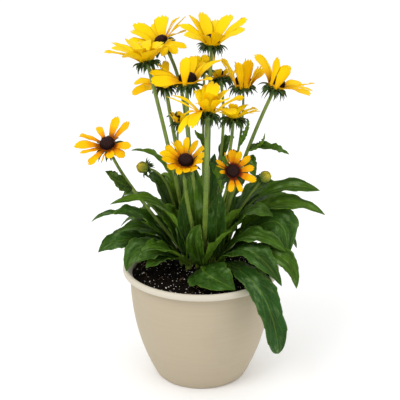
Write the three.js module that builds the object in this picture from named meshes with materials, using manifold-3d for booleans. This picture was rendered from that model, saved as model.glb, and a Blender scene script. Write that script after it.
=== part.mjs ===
import * as THREE from 'three';
import { mergeVertices } from 'three/addons/utils/BufferGeometryUtils.js';
import Module from 'manifold-3d';

// A potted rudbeckia: a moulded pot filled with soil, flower stems that fan out of one crown, and leafy
// shoots round them. Millimetres, +Z up, origin under the middle of the pot, the front towards -Y.

const wasm = await Module();
wasm.setup();

// Pot
const potHeight = 148;
const potSides = 28;
const footRadius = 58.9;
const shoulderRadius = 91;
const wallCurve = 2.45;
const wallThickness = 2.6;
const floorThickness = 2.6;
const rimRadius = 100;
const lipHeight = 9;
const footGroove = { inner: 16, outer: 50, depth: 2 };
const innerLevels = [footGroove.depth + floorThickness, 24, 56, 100];
const drain = { count: 5, radius: 5, ring: 33, sides: 8 };

// Soil and the crown of the plant
const seatGap = 0.3;
const soilLevel = 136;
const soilRings = [1, 0.8, 0.6, 0.36];
const crown = [2, 26];
const rootDepth = 20;
const stemRise = 6;
const shootRing = 26;
const shootRadius = 4.2;
const leafRise = 7;
const leafStep = 1.2;

// Sizes that every flower head shares
const stemSides = 6;
const hubHalf = 1;
const receptacleTop = -hubHalf - seatGap;
const coneBottom = hubHalf + seatGap;
const coneSides = 10;
const budSides = 12;
const bractShare = 3;
const bractReach = 19;

// Thickness in the middle of a leaf and of a petal, and how far a tested blade is padded
const leafThickness = 1.5;
const petalThickness = 1.3;
const clearance = 0.9;

// Flower heads, front ones first: the stem's foot from the middle of the crown, place of the head, the way
// it faces, how far its petals reach and curl down at the ends, the cone's radius, the stem's radius and
// how the stem bows out of its line
const blooms = [
  { name: 'bloom_09', foot: [0.5, -15.5], head: [7, -75, 360], facing: [0.02, 0.5, 0.87], reach: 44, curl: 26,
    cone: 8.5, stem: 2.7, bow: [2, -6] },
  { name: 'bloom_12', foot: [-7, -14], head: [-18, -70, 302], facing: [0.08, -0.56, 0.83], reach: 29, curl: 4,
    cone: 8.4, stem: 2.2, bow: [3, -4] },
  { name: 'bloom_13', foot: [8, -13.5], head: [37, -45, 283], facing: [0.06, -0.84, 0.54], reach: 27, curl: 4,
    cone: 7.5, stem: 1.7, bow: [-4, 8] },
  { name: 'bloom_11', foot: [-12.5, -9.5], head: [-110, -35, 313], facing: [-0.12, -0.64, 0.76], reach: 36,
    curl: 8, cone: 8.6, stem: 2, bow: [-12, 0] },
  { name: 'bloom_04', foot: [-3, -6.5], head: [-16, -25, 386], facing: [0.03, 0.02, 1], reach: 47, curl: 22,
    cone: 10.5, stem: 2.3, bow: [3, 0] },
  { name: 'bloom_01', foot: [-15.5, -2.5], head: [-64, -5, 408.5], facing: [-0.24, 0.16, 0.96], reach: 50,
    curl: 18, cone: 9, stem: 2.3, bow: [4, 0] },
  { name: 'bloom_08', foot: [13.5, -8], head: [89.5, 0, 377], facing: [0.42, 0.02, 0.91], reach: 47, curl: 16,
    cone: 9.5, stem: 2.2, bow: [-5, 2] },
  { name: 'bloom_10', foot: [6.5, -2], head: [39, 0, 340], facing: [0.05, 0.12, 0.99], reach: 33, curl: 16,
    cone: 8, stem: 2, bow: [-4, 4] },
  { name: 'bloom_03', foot: [3, 6.5], head: [13, 35, 422.5], facing: [0.05, -0.02, 1], reach: 52, curl: 10,
    cone: 9.5, stem: 2.2, bow: [3, 6] },
  { name: 'bloom_05', foot: [-11, 11], head: [-45, 45, 370.5], facing: [-0.15, 0, 0.99], reach: 42, curl: 18,
    cone: 9, stem: 2.4, bow: [2, 6] },
  { name: 'bloom_07', foot: [14.5, 6.5], head: [52, 40, 371], facing: [-0.04, 0, 1], reach: 41, curl: 10,
    cone: 10.5, stem: 1.5, bow: [6, 8] },
  { name: 'bloom_02', foot: [-4.5, 15], head: [-49, 70, 418], facing: [-0.46, -0.38, 0.8], reach: 46,
    curl: 12, cone: 8.6, stem: 2.2, bow: [0, 10] },
  { name: 'bloom_15', foot: [10, 13], head: [25, 104, 368], facing: [-0.15, 0.4, 0.9], reach: 27, curl: 14,
    cone: 8, stem: 1.9, bow: [0, 10], bracts: 18 },
  { name: 'bloom_06', foot: [3, 16], head: [4, 72, 386], facing: [0.02, -0.1, 1], reach: 27, curl: 6,
    cone: 6.5, stem: 1.6, bow: [-3, 8], bracts: 14 },
  { name: 'bloom_14', foot: [-5.5, 4.5], head: [-28, 35, 326], facing: [0.1, 0, 1], reach: 19, curl: 0,
    cone: 5.5, stem: 1.4, bow: [0, 2], bracts: 12 },
];

// Petals of the heads that stand in view, one by one: the turn round the head from the back towards the
// left, how steeply the end rises, in degrees, and the reach, then, where they differ from the usual, the
// share of its width, its curl and its roll
const placedPetals = {
  bloom_09: [[24, 64, 52, 1.1], [82, 37, 48, 0.9, 16, -30], [127, -45, 52, 0.6, 16, -30],
    [148, -47, 44, 1.1], [165, 2, 34, 1.1], [187, 19, 42, 1.2], [208, 5, 46, 1.2],
    [231, -11, 40, 0.8, 16, 25], [262, 30, 46, 1, 16, 20], [314, 56, 53], [337, 68, 57, 1.1],
    [359, 68, 57, 1.1]],
  bloom_12: [[2, 33, 31, 0.85], [24, 8, 31], [50, 4, 31], [78, 18, 32], [106, 28, 31], [131, 20, 28],
    [158, 24, 25], [187, 36, 24], [214, 38, 26], [241, 45, 29], [268, 54, 31], [306, 40, 33, 0.65],
    [338, 31, 31, 0.85]],
  bloom_13: [[6, 10, 27, 1.1], [61, 5, 24, 0.6], [104, 46, 18, 0.6], [180, 4, 25, 0.85],
    [210, -10, 27, 0.8], [253, 3, 30, 1.15], [283, 30, 27], [316, 14, 28], [344, 18, 27, 0.85]],
  bloom_11: [[20, -2, 34, 0.85], [57, -3, 40, 0.55], [95, 26, 41, 1.1], [118, 32, 38, 0.8],
    [142, 12, 38, 0.8], [190, 16, 23, 0.9], [222, -4, 27], [246, 20, 32], [309, 13, 38], [334, 22, 38]],
  bloom_04: [[63, 16, 46, 0.7, 16, -20], [95, 17, 46, 1.15, 16, -35], [118, 0, 46, 1.15, 16, -40],
    [162, 94, 41, 1, -12], [240, 14, 34, 0.7], [283, 43, 51, 1.1], [309, 37, 48, 1.1],
    [331, 38, 46, 0.6], [350, 50, 43, 0.85]],
  bloom_01: [[31, 47, 53], [70, 44, 52, 0.9, 18, -15], [112, 27, 53, 0.6, 16, -20],
    [134, 33, 51, 1.15, 18, -25], [155, 23, 49], [175, 20, 44], [195, 17, 42], [216, 18, 42],
    [245, 20, 42, 0.8], [300, 28, 44, 0.8], [332, 30, 46, 0.8], [358, 33, 49, 0.9]],
  bloom_08: [[50, 38, 48, 1, 16, -25], [96, 38, 48, 1.1, 16, -30], [128, 79, 43, 1, -8],
    [179, 83, 39, 1, -8], [230, 12, 48], [268, 22, 46, 0.9], [305, 23, 43, 0.9], [349, 45, 44, 1.1]],
  bloom_10: [[24, 14, 33], [58, 16, 33, 0.8], [127, 15, 34, 0.8], [151, 33, 29], [173, 43, 29, 1.1],
    [197, 41, 31, 1.1], [223, 16, 34, 0.8], [262, 18, 34, 0.8], [296, 20, 34, 0.8], [327, 32, 35],
    [353, 27, 35]],
  bloom_03: [[18, 44, 55, 1.1], [40, 41, 54, 0.8], [62, 28, 51, 0.8, 10, -25],
    [130, 20, 46, 0.9, 10, -30], [158, 33, 38, 0.9], [198, 40, 36, 1.1], [238, 34, 50, 1.1, 10, 30],
    [263, 44, 54, 1.1, 10, 20], [329, 45, 56], [356, 41, 52, 0.9]],
  bloom_07: [[75, 60, 46, 0.6], [113, 65, 50], [163, 71, 44, 0.95], [203, 72, 44, 1.2],
    [228, 56, 39, 1.1, 10, 20], [254, 46, 38, 1, 10, 30], [300, 45, 40, 0.6]],
  bloom_02: [[5, 13, 42, 1.2], [34, 45, 48], [68, 52, 46, 0.8], [97, 56, 46], [130, 46, 42],
    [158, 32, 44], [182, 3, 38], [202, -12, 36, 0.65], [224, -20, 38, 0.65], [302, -28, 40, 0.8],
    [340, 14, 45, 1.2]],
  bloom_05: [[28, 31, 43, 0.9], [69, 10, 44, 0.8, 14, -25], [109, -6, 44, 0.8, 14, -40],
    [147, 5, 42, 0.9, 14, -20], [182, 0, 36, 0.8], [219, -10, 30, 0.7], [270, 0, 36, 0.8],
    [318, -7, 36, 0.7], [354, 41, 44, 0.8]],
};

// How far petals stray from their places: in turn, rise and roll as spans, in reach, curl and width as
// ranges of a factor
const petalStray = {
  turn: 0.34,
  rise: 14,
  roll: 24,
  reach: [0.86, 1.06],
  curl: [0.7, 1.3],
  width: [0.9, 1.15],
};
const petalArch = 0.55;
const petalFold = 6;

// Petals of the other heads, evenly spaced: how many, where the first stands and how steep their cup is
const evenPetals = {
  bloom_15: { count: 9, start: 14, cup: 24 },
  bloom_06: { count: 8, start: 2, cup: 55 },
  bloom_14: { count: 7, start: 7, cup: 60 },
};

// Buds that still show little of their petals
const buds = [
  { name: 'bud_1', foot: [-14.5, 5], head: [-71, 10, 272], facing: [-0.75, -0.35, 0.3], cone: 7, bracts: 13,
    stem: 1.5, bow: [-6, 2] },
  { name: 'bud_2', foot: [15.5, -1], head: [79, 10, 259], facing: [0.5, -0.4, 0.75], cone: 7, bracts: 13,
    stem: 1.5, bow: [-4, 2] },
];

// Leafy shoots: the direction in which each stands from the crown, in degrees
const shoots = [
  { name: 'shoot_front', heading: 272 },
  { name: 'shoot_front_right', heading: 318 },
  { name: 'shoot_right', heading: 3 },
  { name: 'shoot_back_right', heading: 48 },
  { name: 'shoot_back', heading: 92 },
  { name: 'shoot_back_left', heading: 135 },
  { name: 'shoot_left', heading: 180 },
  { name: 'shoot_front_left', heading: 226 },
];

// Leaves, those seen first in front: what each grows on, at what height on a stem, the point that its arch
// is drawn towards, its tip, its width, how much of its length is stalk, and its roll, fold and wave
const leaves = [
  { on: 'bloom_11', height: 0.62, arch: [-98, -30, 262], tip: [-114, -36, 281], width: 25, stalk: 0,
    roll: -50, fold: 4, wave: 0.5 },
  { on: 'bloom_08', height: 0.66, arch: [88, 0, 302], tip: [108, -4, 294], width: 13, stalk: 0, roll: 20,
    fold: 12, wave: 1 },
  { on: 'bloom_08', height: 0.55, arch: [52, -12, 300], tip: [66, -16, 268], width: 22, stalk: 0,
    roll: 10, fold: 8, wave: 1 },
  { on: 'bloom_08', height: 0.64, arch: [78, -2, 300], tip: [76, 2, 318], width: 9, stalk: 0, roll: 0,
    fold: 14, wave: 0.5 },
  { on: 'bloom_07', height: 0.66, arch: [60, 28, 310], tip: [58, 20, 332], width: 11, stalk: 0, roll: 30,
    fold: 10, wave: 0.5 },
  { on: 'bloom_10', height: 0.6, arch: [30, -2, 300], tip: [44, -6, 296], width: 20, stalk: 0, roll: 10,
    fold: 8, wave: 1 },
  { on: 'bloom_10', height: 0.52, arch: [14, 0, 296], tip: [16, -6, 272], width: 16, stalk: 0, roll: 0,
    fold: 8, wave: 1 },
  { on: 'bloom_09', height: 0.82, arch: [-2, -62, 340], tip: [-6, -56, 330], width: 12, stalk: 0,
    roll: 30, fold: 6, wave: 0.5 },
  { on: 'bloom_02', height: 0.55, arch: [-30, 66, 330], tip: [-46, 76, 322], width: 14, stalk: 0,
    roll: 0, fold: 8, wave: 1 },
  { on: 'bloom_15', height: 0.5, arch: [34, 84, 300], tip: [44, 92, 290], width: 14, stalk: 0, roll: 0,
    fold: 8, wave: 1 },
  { on: 'bloom_04', height: 0.08, arch: [-9, -8, 215], tip: [-9, -8, 281], width: 34, stalk: 0, roll: 0,
    fold: 8, wave: 2, face: 90 },
  { on: 'shoot_front', arch: [-2, -56, 158], tip: [40, -88, 152], width: 50, stalk: 0, roll: 22, fold: 6,
    wave: 1.5 },
  { on: 'shoot_front_right', arch: [52, -49, 219], tip: [99, -62, 144], width: 40, stalk: 0, roll: 10,
    fold: 8, wave: 2 },
  { on: 'shoot_front_right', arch: [88, -130, 196], tip: [100, -97, 74], width: 40, stalk: 0.15, roll: 4,
    fold: 8, wave: 3 },
  { on: 'shoot_front_left', arch: [-44, -46, 196], tip: [-73, -52, 187], width: 32, stalk: 0, roll: -12,
    fold: 10, wave: 2 },
  { on: 'shoot_front_left', arch: [-77, -10, 199], tip: [-95, -28, 149], width: 42, stalk: 0.05,
    roll: -14, fold: 10, wave: 2 },
  { on: 'shoot_left', arch: [-96, 6, 195], tip: [-126, -14, 162], width: 32, stalk: 0.05, roll: -35,
    fold: 10, wave: 2 },
  { on: 'shoot_front_right', arch: [50, -25, 223], tip: [104, -38, 178], width: 34, stalk: 0, roll: 14,
    fold: 8, wave: 2 },
  { on: 'shoot_right', arch: [54, -11, 241], tip: [94, -14, 208], width: 36, stalk: 0, roll: 16, fold: 8,
    wave: 2 },
  { on: 'shoot_right', arch: [110, -3, 255], tip: [109, -14, 162], width: 44, stalk: 0.1, roll: 40,
    fold: 6, wave: 3 },
  { on: 'shoot_right', arch: [91, 16, 255], tip: [163, 14, 200], width: 28, stalk: 0.2, roll: 25,
    fold: 14, wave: 2 },
  { on: 'shoot_back_right', arch: [62, 5, 273], tip: [148, 8, 240], width: 21, stalk: 0.5, roll: 36,
    fold: 10, wave: 2 },
  { on: 'shoot_front_left', arch: [-28, -37, 268], tip: [-109, -46, 244], width: 25, stalk: 0.05,
    roll: -16, fold: 10, wave: 2 },
  { on: 'shoot_left', arch: [-84, 3, 240], tip: [-139, 0, 206], width: 19, stalk: 0.2, roll: 0, fold: 10,
    wave: 2 },
  { on: 'shoot_left', arch: [-84, -13, 223], tip: [-117, -24, 203], width: 26, stalk: 0.1, roll: -24,
    fold: 8, wave: 2 },
  { on: 'shoot_back_left', arch: [-39, 20, 298], tip: [-98, 8, 285], width: 22, stalk: 0.2, roll: 4,
    fold: 14, wave: 2 },
  { on: 'shoot_back_left', arch: [-56, 22, 259], tip: [-66, 24, 260], width: 40, stalk: 0.1, roll: -30,
    fold: 8, wave: 2 },
  { on: 'shoot_back_left', arch: [-50, 22, 205], tip: [-76, 16, 224], width: 32, stalk: 0.1, roll: -30,
    fold: 8, wave: 2 },
  { on: 'shoot_front_left', arch: [-37, -8, 219], tip: [-51, -8, 226], width: 34, stalk: 0.1, roll: -50,
    fold: 12, wave: 1.5 },
  { on: 'shoot_front', arch: [-13, -26, 198], tip: [2, -20, 211], width: 22, stalk: 0, roll: 10,
    fold: 26, wave: 1, face: 70 },
  { on: 'shoot_front_right', arch: [20, -5, 218], tip: [28, -6, 248], width: 24, stalk: 0.05, roll: 20,
    fold: 14, wave: 2, face: 60 },
  { on: 'shoot_right', arch: [115, -40, 218], tip: [128, -36, 144], width: 23, stalk: 0.1, roll: 30,
    fold: 10, wave: 2 },
  { on: 'shoot_front_right', arch: [65, -53, 186], tip: [97, -78, 154], width: 26, stalk: 0.1, roll: 0,
    fold: 8, wave: 2 },
  { on: 'shoot_front', arch: [32, -30, 166], tip: [47, -46, 145], width: 26, stalk: 0.1, roll: 0,
    fold: 8, wave: 1 },
  { on: 'shoot_front_left', arch: [-41, -30, 178], tip: [-68, -44, 160], width: 30, stalk: 0.1, roll: 0,
    fold: 8, wave: 1.5 },
  { on: 'shoot_back_left', arch: [-60, 34, 262], tip: [-90, 34, 240], width: 28, stalk: 0.1, roll: 0,
    fold: 10, wave: 2 },
  { on: 'shoot_back_right', arch: [50, 34, 230], tip: [90, 26, 222], width: 40, stalk: 0.1, roll: 10,
    fold: 8, wave: 2 },
  { on: 'shoot_back_right', arch: [36, 42, 225], tip: [62, 44, 262], width: 34, stalk: 0.1, roll: 20,
    fold: 8, wave: 2 },
  { on: 'shoot_back_right', arch: [90, 80, 250], tip: [125, 75, 180], width: 38, stalk: 0.2, roll: 0,
    fold: 8, wave: 2 },
  { on: 'shoot_back_right', arch: [60, 88, 230], tip: [76, 112, 152], width: 38, stalk: 0.1, roll: 0,
    fold: 8, wave: 2 },
  { on: 'shoot_back', arch: [16, 74, 262], tip: [20, 122, 215], width: 34, stalk: 0.2, roll: 0, fold: 8,
    wave: 2 },
  { on: 'shoot_back', arch: [-8, 104, 220], tip: [-12, 130, 140], width: 38, stalk: 0.1, roll: 0,
    fold: 8, wave: 2 },
  { on: 'shoot_back', arch: [-2, 48, 220], tip: [8, 62, 275], width: 30, stalk: 0.1, roll: 0, fold: 8,
    wave: 2 },
  { on: 'shoot_back_left', arch: [-60, 90, 240], tip: [-84, 104, 165], width: 38, stalk: 0.1, roll: 0,
    fold: 8, wave: 2 },
  { on: 'shoot_back_left', arch: [-81, 60, 213], tip: [-108, 58, 177], width: 36, stalk: 0.1, roll: 0,
    fold: 8, wave: 2 },
  { on: 'shoot_back_left', arch: [-36, 64, 260], tip: [-60, 88, 238], width: 30, stalk: 0.1, roll: 0,
    fold: 8, wave: 2 },
  { on: 'shoot_front_left', arch: [-42, -22, 200], tip: [-74, -34, 186], width: 34, stalk: 0.1,
    roll: -10, fold: 8, wave: 2 },
  { on: 'shoot_front_left', arch: [-22, -12, 196], tip: [-28, -6, 234], width: 26, stalk: 0.1, roll: 0,
    fold: 12, wave: 1.5, face: 120 },
  { on: 'shoot_back', arch: [-22, 64, 206], tip: [-34, 88, 250], width: 31, stalk: 0.1, roll: 0, fold: 8,
    wave: 2 },
  { on: 'shoot_right', arch: [96, -8, 216], tip: [111, -20, 166], width: 36, stalk: 0.1, roll: 8,
    fold: 8, wave: 2 },
  { on: 'shoot_back_right', arch: [72, 48, 252], tip: [112, 48, 226], width: 36, stalk: 0.1, roll: 10,
    fold: 8, wave: 2 },
  { on: 'shoot_left', arch: [-74, 10, 195], tip: [-114, 6, 163], width: 36, stalk: 0.1, roll: -10,
    fold: 8, wave: 2 },
  { on: 'shoot_back_left', arch: [-28, 50, 225], tip: [-44, 58, 272], width: 32, stalk: 0.1, roll: 0,
    fold: 8, wave: 2 },
  { on: 'shoot_front', arch: [24, -14, 190], tip: [44, -24, 214], width: 28, stalk: 0, roll: 20,
    fold: 10, wave: 2 },
  { on: 'shoot_right', arch: [34, -2, 205], tip: [57, -2, 218], width: 30, stalk: 0.1, roll: 0, fold: 8,
    wave: 2 },
  { on: 'shoot_back_right', arch: [38, 40, 184], tip: [62, 48, 198], width: 34, stalk: 0.1, roll: 0, fold: 8,
    wave: 2 },
  { on: 'shoot_right', arch: [45, 12, 194], tip: [78, 10, 187], width: 34, stalk: 0.1, roll: 0, fold: 8,
    wave: 2 },
];

const leafStations = [0, 0.18, 0.34, 0.5, 0.66, 0.83, 1];
const petalStations = [0, 0.32, 0.74, 1];
const petalShares = [0.44, 0.88, 1, 0.42];
const rootShare = 0.45;
const leafTooth = 0.05;
const edgeWaves = 3;

// Small moves that a blade tries, smallest first, until it is clear of what stands there already
const turns = [0, 4, -4, 8, -8, 12, -12, 17, -17, 23, -23];
const lifts = [0, 5, -5, 10, -10, 16, -16];
const shrinks = [1, 0.88, 0.76];
const nudges = shrinks.flatMap((shrink) => {
  return lifts.flatMap((lift) => turns.map((turn) => ({ turn, lift, shrink })));
});
const effort = (nudge) => Math.abs(nudge.turn) + 1.2 * Math.abs(nudge.lift) + 160 * (1 - nudge.shrink);
nudges.sort((one, other) => effort(one) - effort(other));

const radians = THREE.MathUtils.degToRad;
const vector = (list) => new THREE.Vector3(...list);
const upward = new THREE.Vector3(0, 0, 1);

// Repeatable numbers from 0 to 1
function drawFrom(seed) {
  let state = seed;
  return () => {
    state = (state * 16807) % 2147483647;
    return state / 2147483647;
  };
}

// Solids

function solidFrom(vertices, triangles) {
  const mesh = new wasm.Mesh({
    numProp: 3,
    vertProperties: new Float32Array(vertices),
    triVerts: new Uint32Array(triangles),
  });
  return new wasm.Manifold(mesh);
}

function solidOf(geometry) {
  const bare = geometry.clone();
  bare.deleteAttribute('normal');
  bare.deleteAttribute('uv');
  const merged = mergeVertices(bare, 1e-4);
  return solidFrom(merged.attributes.position.array, merged.index.array);
}

function geometryOf(solid) {
  const mesh = solid.getMesh();
  const geometry = new THREE.BufferGeometry();
  geometry.setAttribute('position', new THREE.BufferAttribute(mesh.vertProperties, 3));
  geometry.setIndex(new THREE.BufferAttribute(mesh.triVerts, 1));
  return geometry;
}

// The solids as one; hollows that the joining has sealed are filled and loose scraps dropped
function joined(solids) {
  const shells = solids.reduce((whole, solid) => whole.add(solid)).decompose();
  return shells.reduce((largest, shell) => (shell.volume() > largest.volume() ? shell : largest));
}

// A skin is put together from rings of points: each ring is added once and bridged to the next
function addRing(skin, ring) {
  const first = skin.vertices.length / 3;
  ring.forEach((point) => skin.vertices.push(point.x, point.y, point.z));
  return ring.map((_, index) => first + index);
}

// The wall between two rings. The upper ring has as many points as the lower one, or a whole number of
// times more. Every second side of a blade is split along its other diagonal, so that the blade's upper
// and lower faces are split alike.
function bridge(skin, lower, upper, isBlade = false) {
  const share = upper.length / lower.length;
  lower.forEach((a, side) => {
    const b = lower[(side + 1) % lower.length];
    const edge = Array.from({ length: share + 1 }, (_, step) => upper[(side * share + step) % upper.length]);
    if (isBlade && side % 2 === 0) {
      skin.triangles.push(a, b, edge[0], b, edge[1], edge[0]);
      return;
    }
    skin.triangles.push(a, b, edge[share]);
    for (let step = 0; step < share; step++) {
      skin.triangles.push(a, edge[step + 1], edge[step]);
    }
  });
}

function closeEnd(skin, ring, isFirst) {
  for (let side = 1; side < ring.length - 1; side++) {
    const [one, other] = [ring[side], ring[side + 1]];
    skin.triangles.push(ring[0], ...(isFirst ? [other, one] : [one, other]));
  }
}

function skinned(rings, isBlade = false) {
  const skin = { vertices: [], triangles: [] };
  const added = rings.map((ring) => addRing(skin, ring));
  added.slice(1).forEach((ring, index) => bridge(skin, added[index], ring, isBlade));
  closeEnd(skin, added[0], true);
  closeEnd(skin, added[added.length - 1], false);
  return solidFrom(skin.vertices, skin.triangles);
}

function lathe(profile, sides) {
  const geometry = new THREE.LatheGeometry(profile.map(([radius, z]) => new THREE.Vector2(radius, z)), sides);
  geometry.rotateX(Math.PI / 2);
  return solidOf(geometry);
}

// Blades

// A point of the arch from base to tip, and the arch's direction there
function archAt(base, arch, tip, t) {
  const point = base.clone().multiplyScalar((1 - t) ** 2);
  point.addScaledVector(arch, 2 * t * (1 - t)).addScaledVector(tip, t * t);
  const direction = arch.clone().sub(base).multiplyScalar(1 - t);
  direction.addScaledVector(tip.clone().sub(arch), t).normalize();
  return { point, direction };
}

// Arch and tip after a small turn about the upright axis, a lift and a shrinking towards the base
function nudged(spine, nudge) {
  const moved = (point) => point.clone().sub(spine.base)
    .applyAxisAngle(spine.side, -radians(nudge.lift))
    .applyAxisAngle(spine.axis, radians(nudge.turn))
    .multiplyScalar(nudge.shrink).add(spine.base);
  const side = spine.side.clone().applyAxisAngle(spine.axis, radians(nudge.turn));
  return { ...spine, arch: moved(spine.arch), tip: moved(spine.tip), side };
}

// Left and upper directions of a blade, rolled about its spine
function bladeFrame(spine, direction) {
  const flat = spine.side.clone().addScaledVector(direction, -spine.side.dot(direction)).normalize();
  const top = direction.clone().cross(flat);
  const roll = radians(spine.roll);
  const left = flat.clone().multiplyScalar(Math.cos(roll)).addScaledVector(top, Math.sin(roll));
  const up = top.clone().multiplyScalar(Math.cos(roll)).addScaledVector(flat, -Math.sin(roll));
  return { left, up };
}

// Points round the spine: left edge, upper middle, right edge and lower middle, where rise is how far
// the wave lifts each edge and a keeled blade has a flat upper face with no middle of its own
function bladeRing(spine, t, half, thickness, rise = [0, 0]) {
  const { point, direction } = archAt(spine.base, spine.arch, spine.tip, t);
  const { left, up } = bladeFrame(spine, direction);
  const fold = radians(spine.fold);
  const edge = (sign, lift) => point.clone().addScaledVector(left, sign * half * Math.cos(fold))
    .addScaledVector(up, half * Math.sin(fold) + lift);
  const middle = (level) => point.clone().addScaledVector(up, level);
  if (spine.keeled) {
    return [middle(-thickness), edge(1, rise[0]), edge(-1, rise[1])];
  }
  return [middle(-thickness / 2), edge(1, rise[0]), middle(thickness / 2), edge(-1, rise[1])];
}

function leafShare(t, stalk) {
  const along = (t - stalk) / (1 - stalk);
  return along <= 0 || t === 1 ? 0 : Math.sin(Math.PI * along ** 0.95) ** 0.6;
}

function leafRings(spine, pad = 0) {
  return leafStations.map((t, station) => {
    const share = leafShare(t, spine.stalk);
    const tooth = 1 + leafTooth * (station % 2 === 0 ? -1 : 1);
    const half = 1.7 * (1 - t) + 0.5 + spine.width / 2 * share * tooth + pad / 2;
    const thickness = leafThickness * (1.5 - 0.8 * t) + pad;
    const swing = 2 * Math.PI * edgeWaves * t;
    const lift = [Math.sin(swing + spine.phase), Math.sin(swing + spine.phase + 2)].map((wave) => {
      return wave * share * spine.wave;
    });
    return bladeRing(spine, t, half, thickness, lift);
  });
}

function petalRings(spine, pad = 0) {
  return petalStations.map((t, station) => {
    const half = spine.width / 2 * petalShares[station] + pad / 2;
    return bladeRing(spine, t, half, petalThickness * (1 - 0.25 * t) + pad);
  });
}

// What stands already, so that a later blade can be bent clear of it. Blades of one owner may meet at
// their roots, so among themselves only their outer parts are tested.
const standing = [];

function stand(owner, solid, outer = null) {
  const { min, max } = solid.boundingBox();
  standing.push({ owner, solid, outer, min, max });
}

function isClear(owner, solid, outer) {
  const box = solid.boundingBox();
  return standing.every((other) => {
    if ([0, 1, 2].some((axis) => box.min[axis] > other.max[axis] || box.max[axis] < other.min[axis])) {
      return true;
    }
    if (other.owner !== owner) {
      return solid.intersect(other.solid).isEmpty();
    }
    return !other.outer || outer.intersect(other.outer).isEmpty();
  });
}

// The spine of the first small move that brings a blade clear, or null where there is none
function bentClear(owner, spine, ringsOf, split) {
  const isBlade = !spine.keeled;
  for (const nudge of nudges) {
    const moved = nudged(spine, nudge);
    const rings = ringsOf(moved, clearance);
    if (isClear(owner, skinned(rings, isBlade), skinned(rings.slice(split), isBlade))) {
      const own = ringsOf(moved);
      stand(owner, skinned(own, isBlade), skinned(own.slice(split), isBlade));
      return moved;
    }
  }
  return null;
}

// Pot

function wallRadius(z) {
  return footRadius + (shoulderRadius - footRadius) * (1 - (1 - z / potHeight) ** wallCurve);
}

function potSolid() {
  const lipBottom = potHeight - lipHeight;
  const wallLevels = [1.5, 18, 40, 68, 102, lipBottom];
  const pot = lathe([
    [0, 0],
    [footGroove.inner, 0],
    [footGroove.inner + 2, footGroove.depth],
    [footGroove.outer, footGroove.depth],
    [footGroove.outer + 2, 0],
    [footRadius - 1.4, 0],
    ...wallLevels.map((z) => [wallRadius(z), z]),
    [rimRadius - 1.6, lipBottom + 0.6],
    [rimRadius, lipBottom + 3],
    [rimRadius - 0.6, potHeight - 1.4],
    [rimRadius - 3, potHeight],
    [rimRadius - 6, potHeight - 0.8],
    [wallRadius(lipBottom) - wallThickness, lipBottom],
    ...innerLevels.toReversed().map((z) => [wallRadius(z) - wallThickness, z]),
    [0, footGroove.depth + floorThickness],
  ], potSides);
  const holes = Array.from({ length: drain.count }, (_, index) => {
    const turn = 2 * Math.PI * index / drain.count;
    const hole = new THREE.CylinderGeometry(drain.radius, drain.radius, 20, drain.sides);
    hole.rotateX(Math.PI / 2);
    hole.translate(drain.ring * Math.cos(turn), drain.ring * Math.sin(turn), 0);
    return solidOf(hole);
  });
  return holes.reduce((solid, hole) => solid.subtract(hole), pot);
}

// Soil

// Clods and hollows of the surface, with a low mound at the crown
function soilHeight(x, y) {
  const clods = Math.sin(0.21 * x + 1.3) * Math.cos(0.17 * y) + 0.7 * Math.sin(0.37 * x - 0.29 * y + 0.8);
  const mound = 3 * Math.exp(-(((x - crown[0]) / 36) ** 2) - ((y - crown[1]) / 36) ** 2);
  return soilLevel + 1.3 * clods + mound;
}

function soilSolid() {
  const edge = wallRadius(soilLevel - 4) - wallThickness - seatGap;
  const rings = innerLevels.map((level) => {
    const radius = wallRadius(level) - wallThickness - seatGap;
    return circleRing(potSides, (x, y) => new THREE.Vector3(radius * x, radius * y, level + seatGap));
  });
  for (const share of soilRings) {
    rings.push(circleRing(potSides, (x, y) => {
      const [px, py] = [edge * share * x, edge * share * y];
      return new THREE.Vector3(px, py, soilHeight(px, py));
    }));
  }
  return skinned(rings);
}

function circleRing(sides, place) {
  return Array.from({ length: sides }, (_, index) => {
    const turn = 2 * Math.PI * index / sides;
    return place(Math.cos(turn), Math.sin(turn));
  });
}

// Stems and heads

// Two directions across an axis, the first as near to +Y as it can be
function across(axis) {
  const one = new THREE.Vector3(0, 1, 0).addScaledVector(axis, -axis.y).normalize();
  return [one, axis.clone().cross(one)];
}

function roundRing(centre, axis, radius, sides) {
  const [one, two] = across(axis);
  return circleRing(sides, (x, y) => {
    return centre.clone().addScaledVector(one, radius * x).addScaledVector(two, radius * y);
  });
}

// The route of a stem above the soil, from the crown to below its head
function stemRoute(flower) {
  const head = vector(flower.head);
  const facing = vector(flower.facing).normalize();
  const foot = new THREE.Vector3(crown[0] + flower.foot[0], crown[1] + flower.foot[1], soilLevel + stemRise);
  const end = head.clone().addScaledVector(facing, -9);
  const length = end.distanceTo(foot);
  const bow = new THREE.Vector3(flower.bow[0], flower.bow[1], 0.04 * length);
  const lower = foot.clone().lerp(end, 0.36).add(bow);
  const bend = Math.min(0.3 * length, 26 + 0.2 * length * facing.z);
  const upper = end.clone().addScaledVector(facing, -bend);
  return new THREE.CubicBezierCurve3(foot, lower, upper, end);
}

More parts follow.
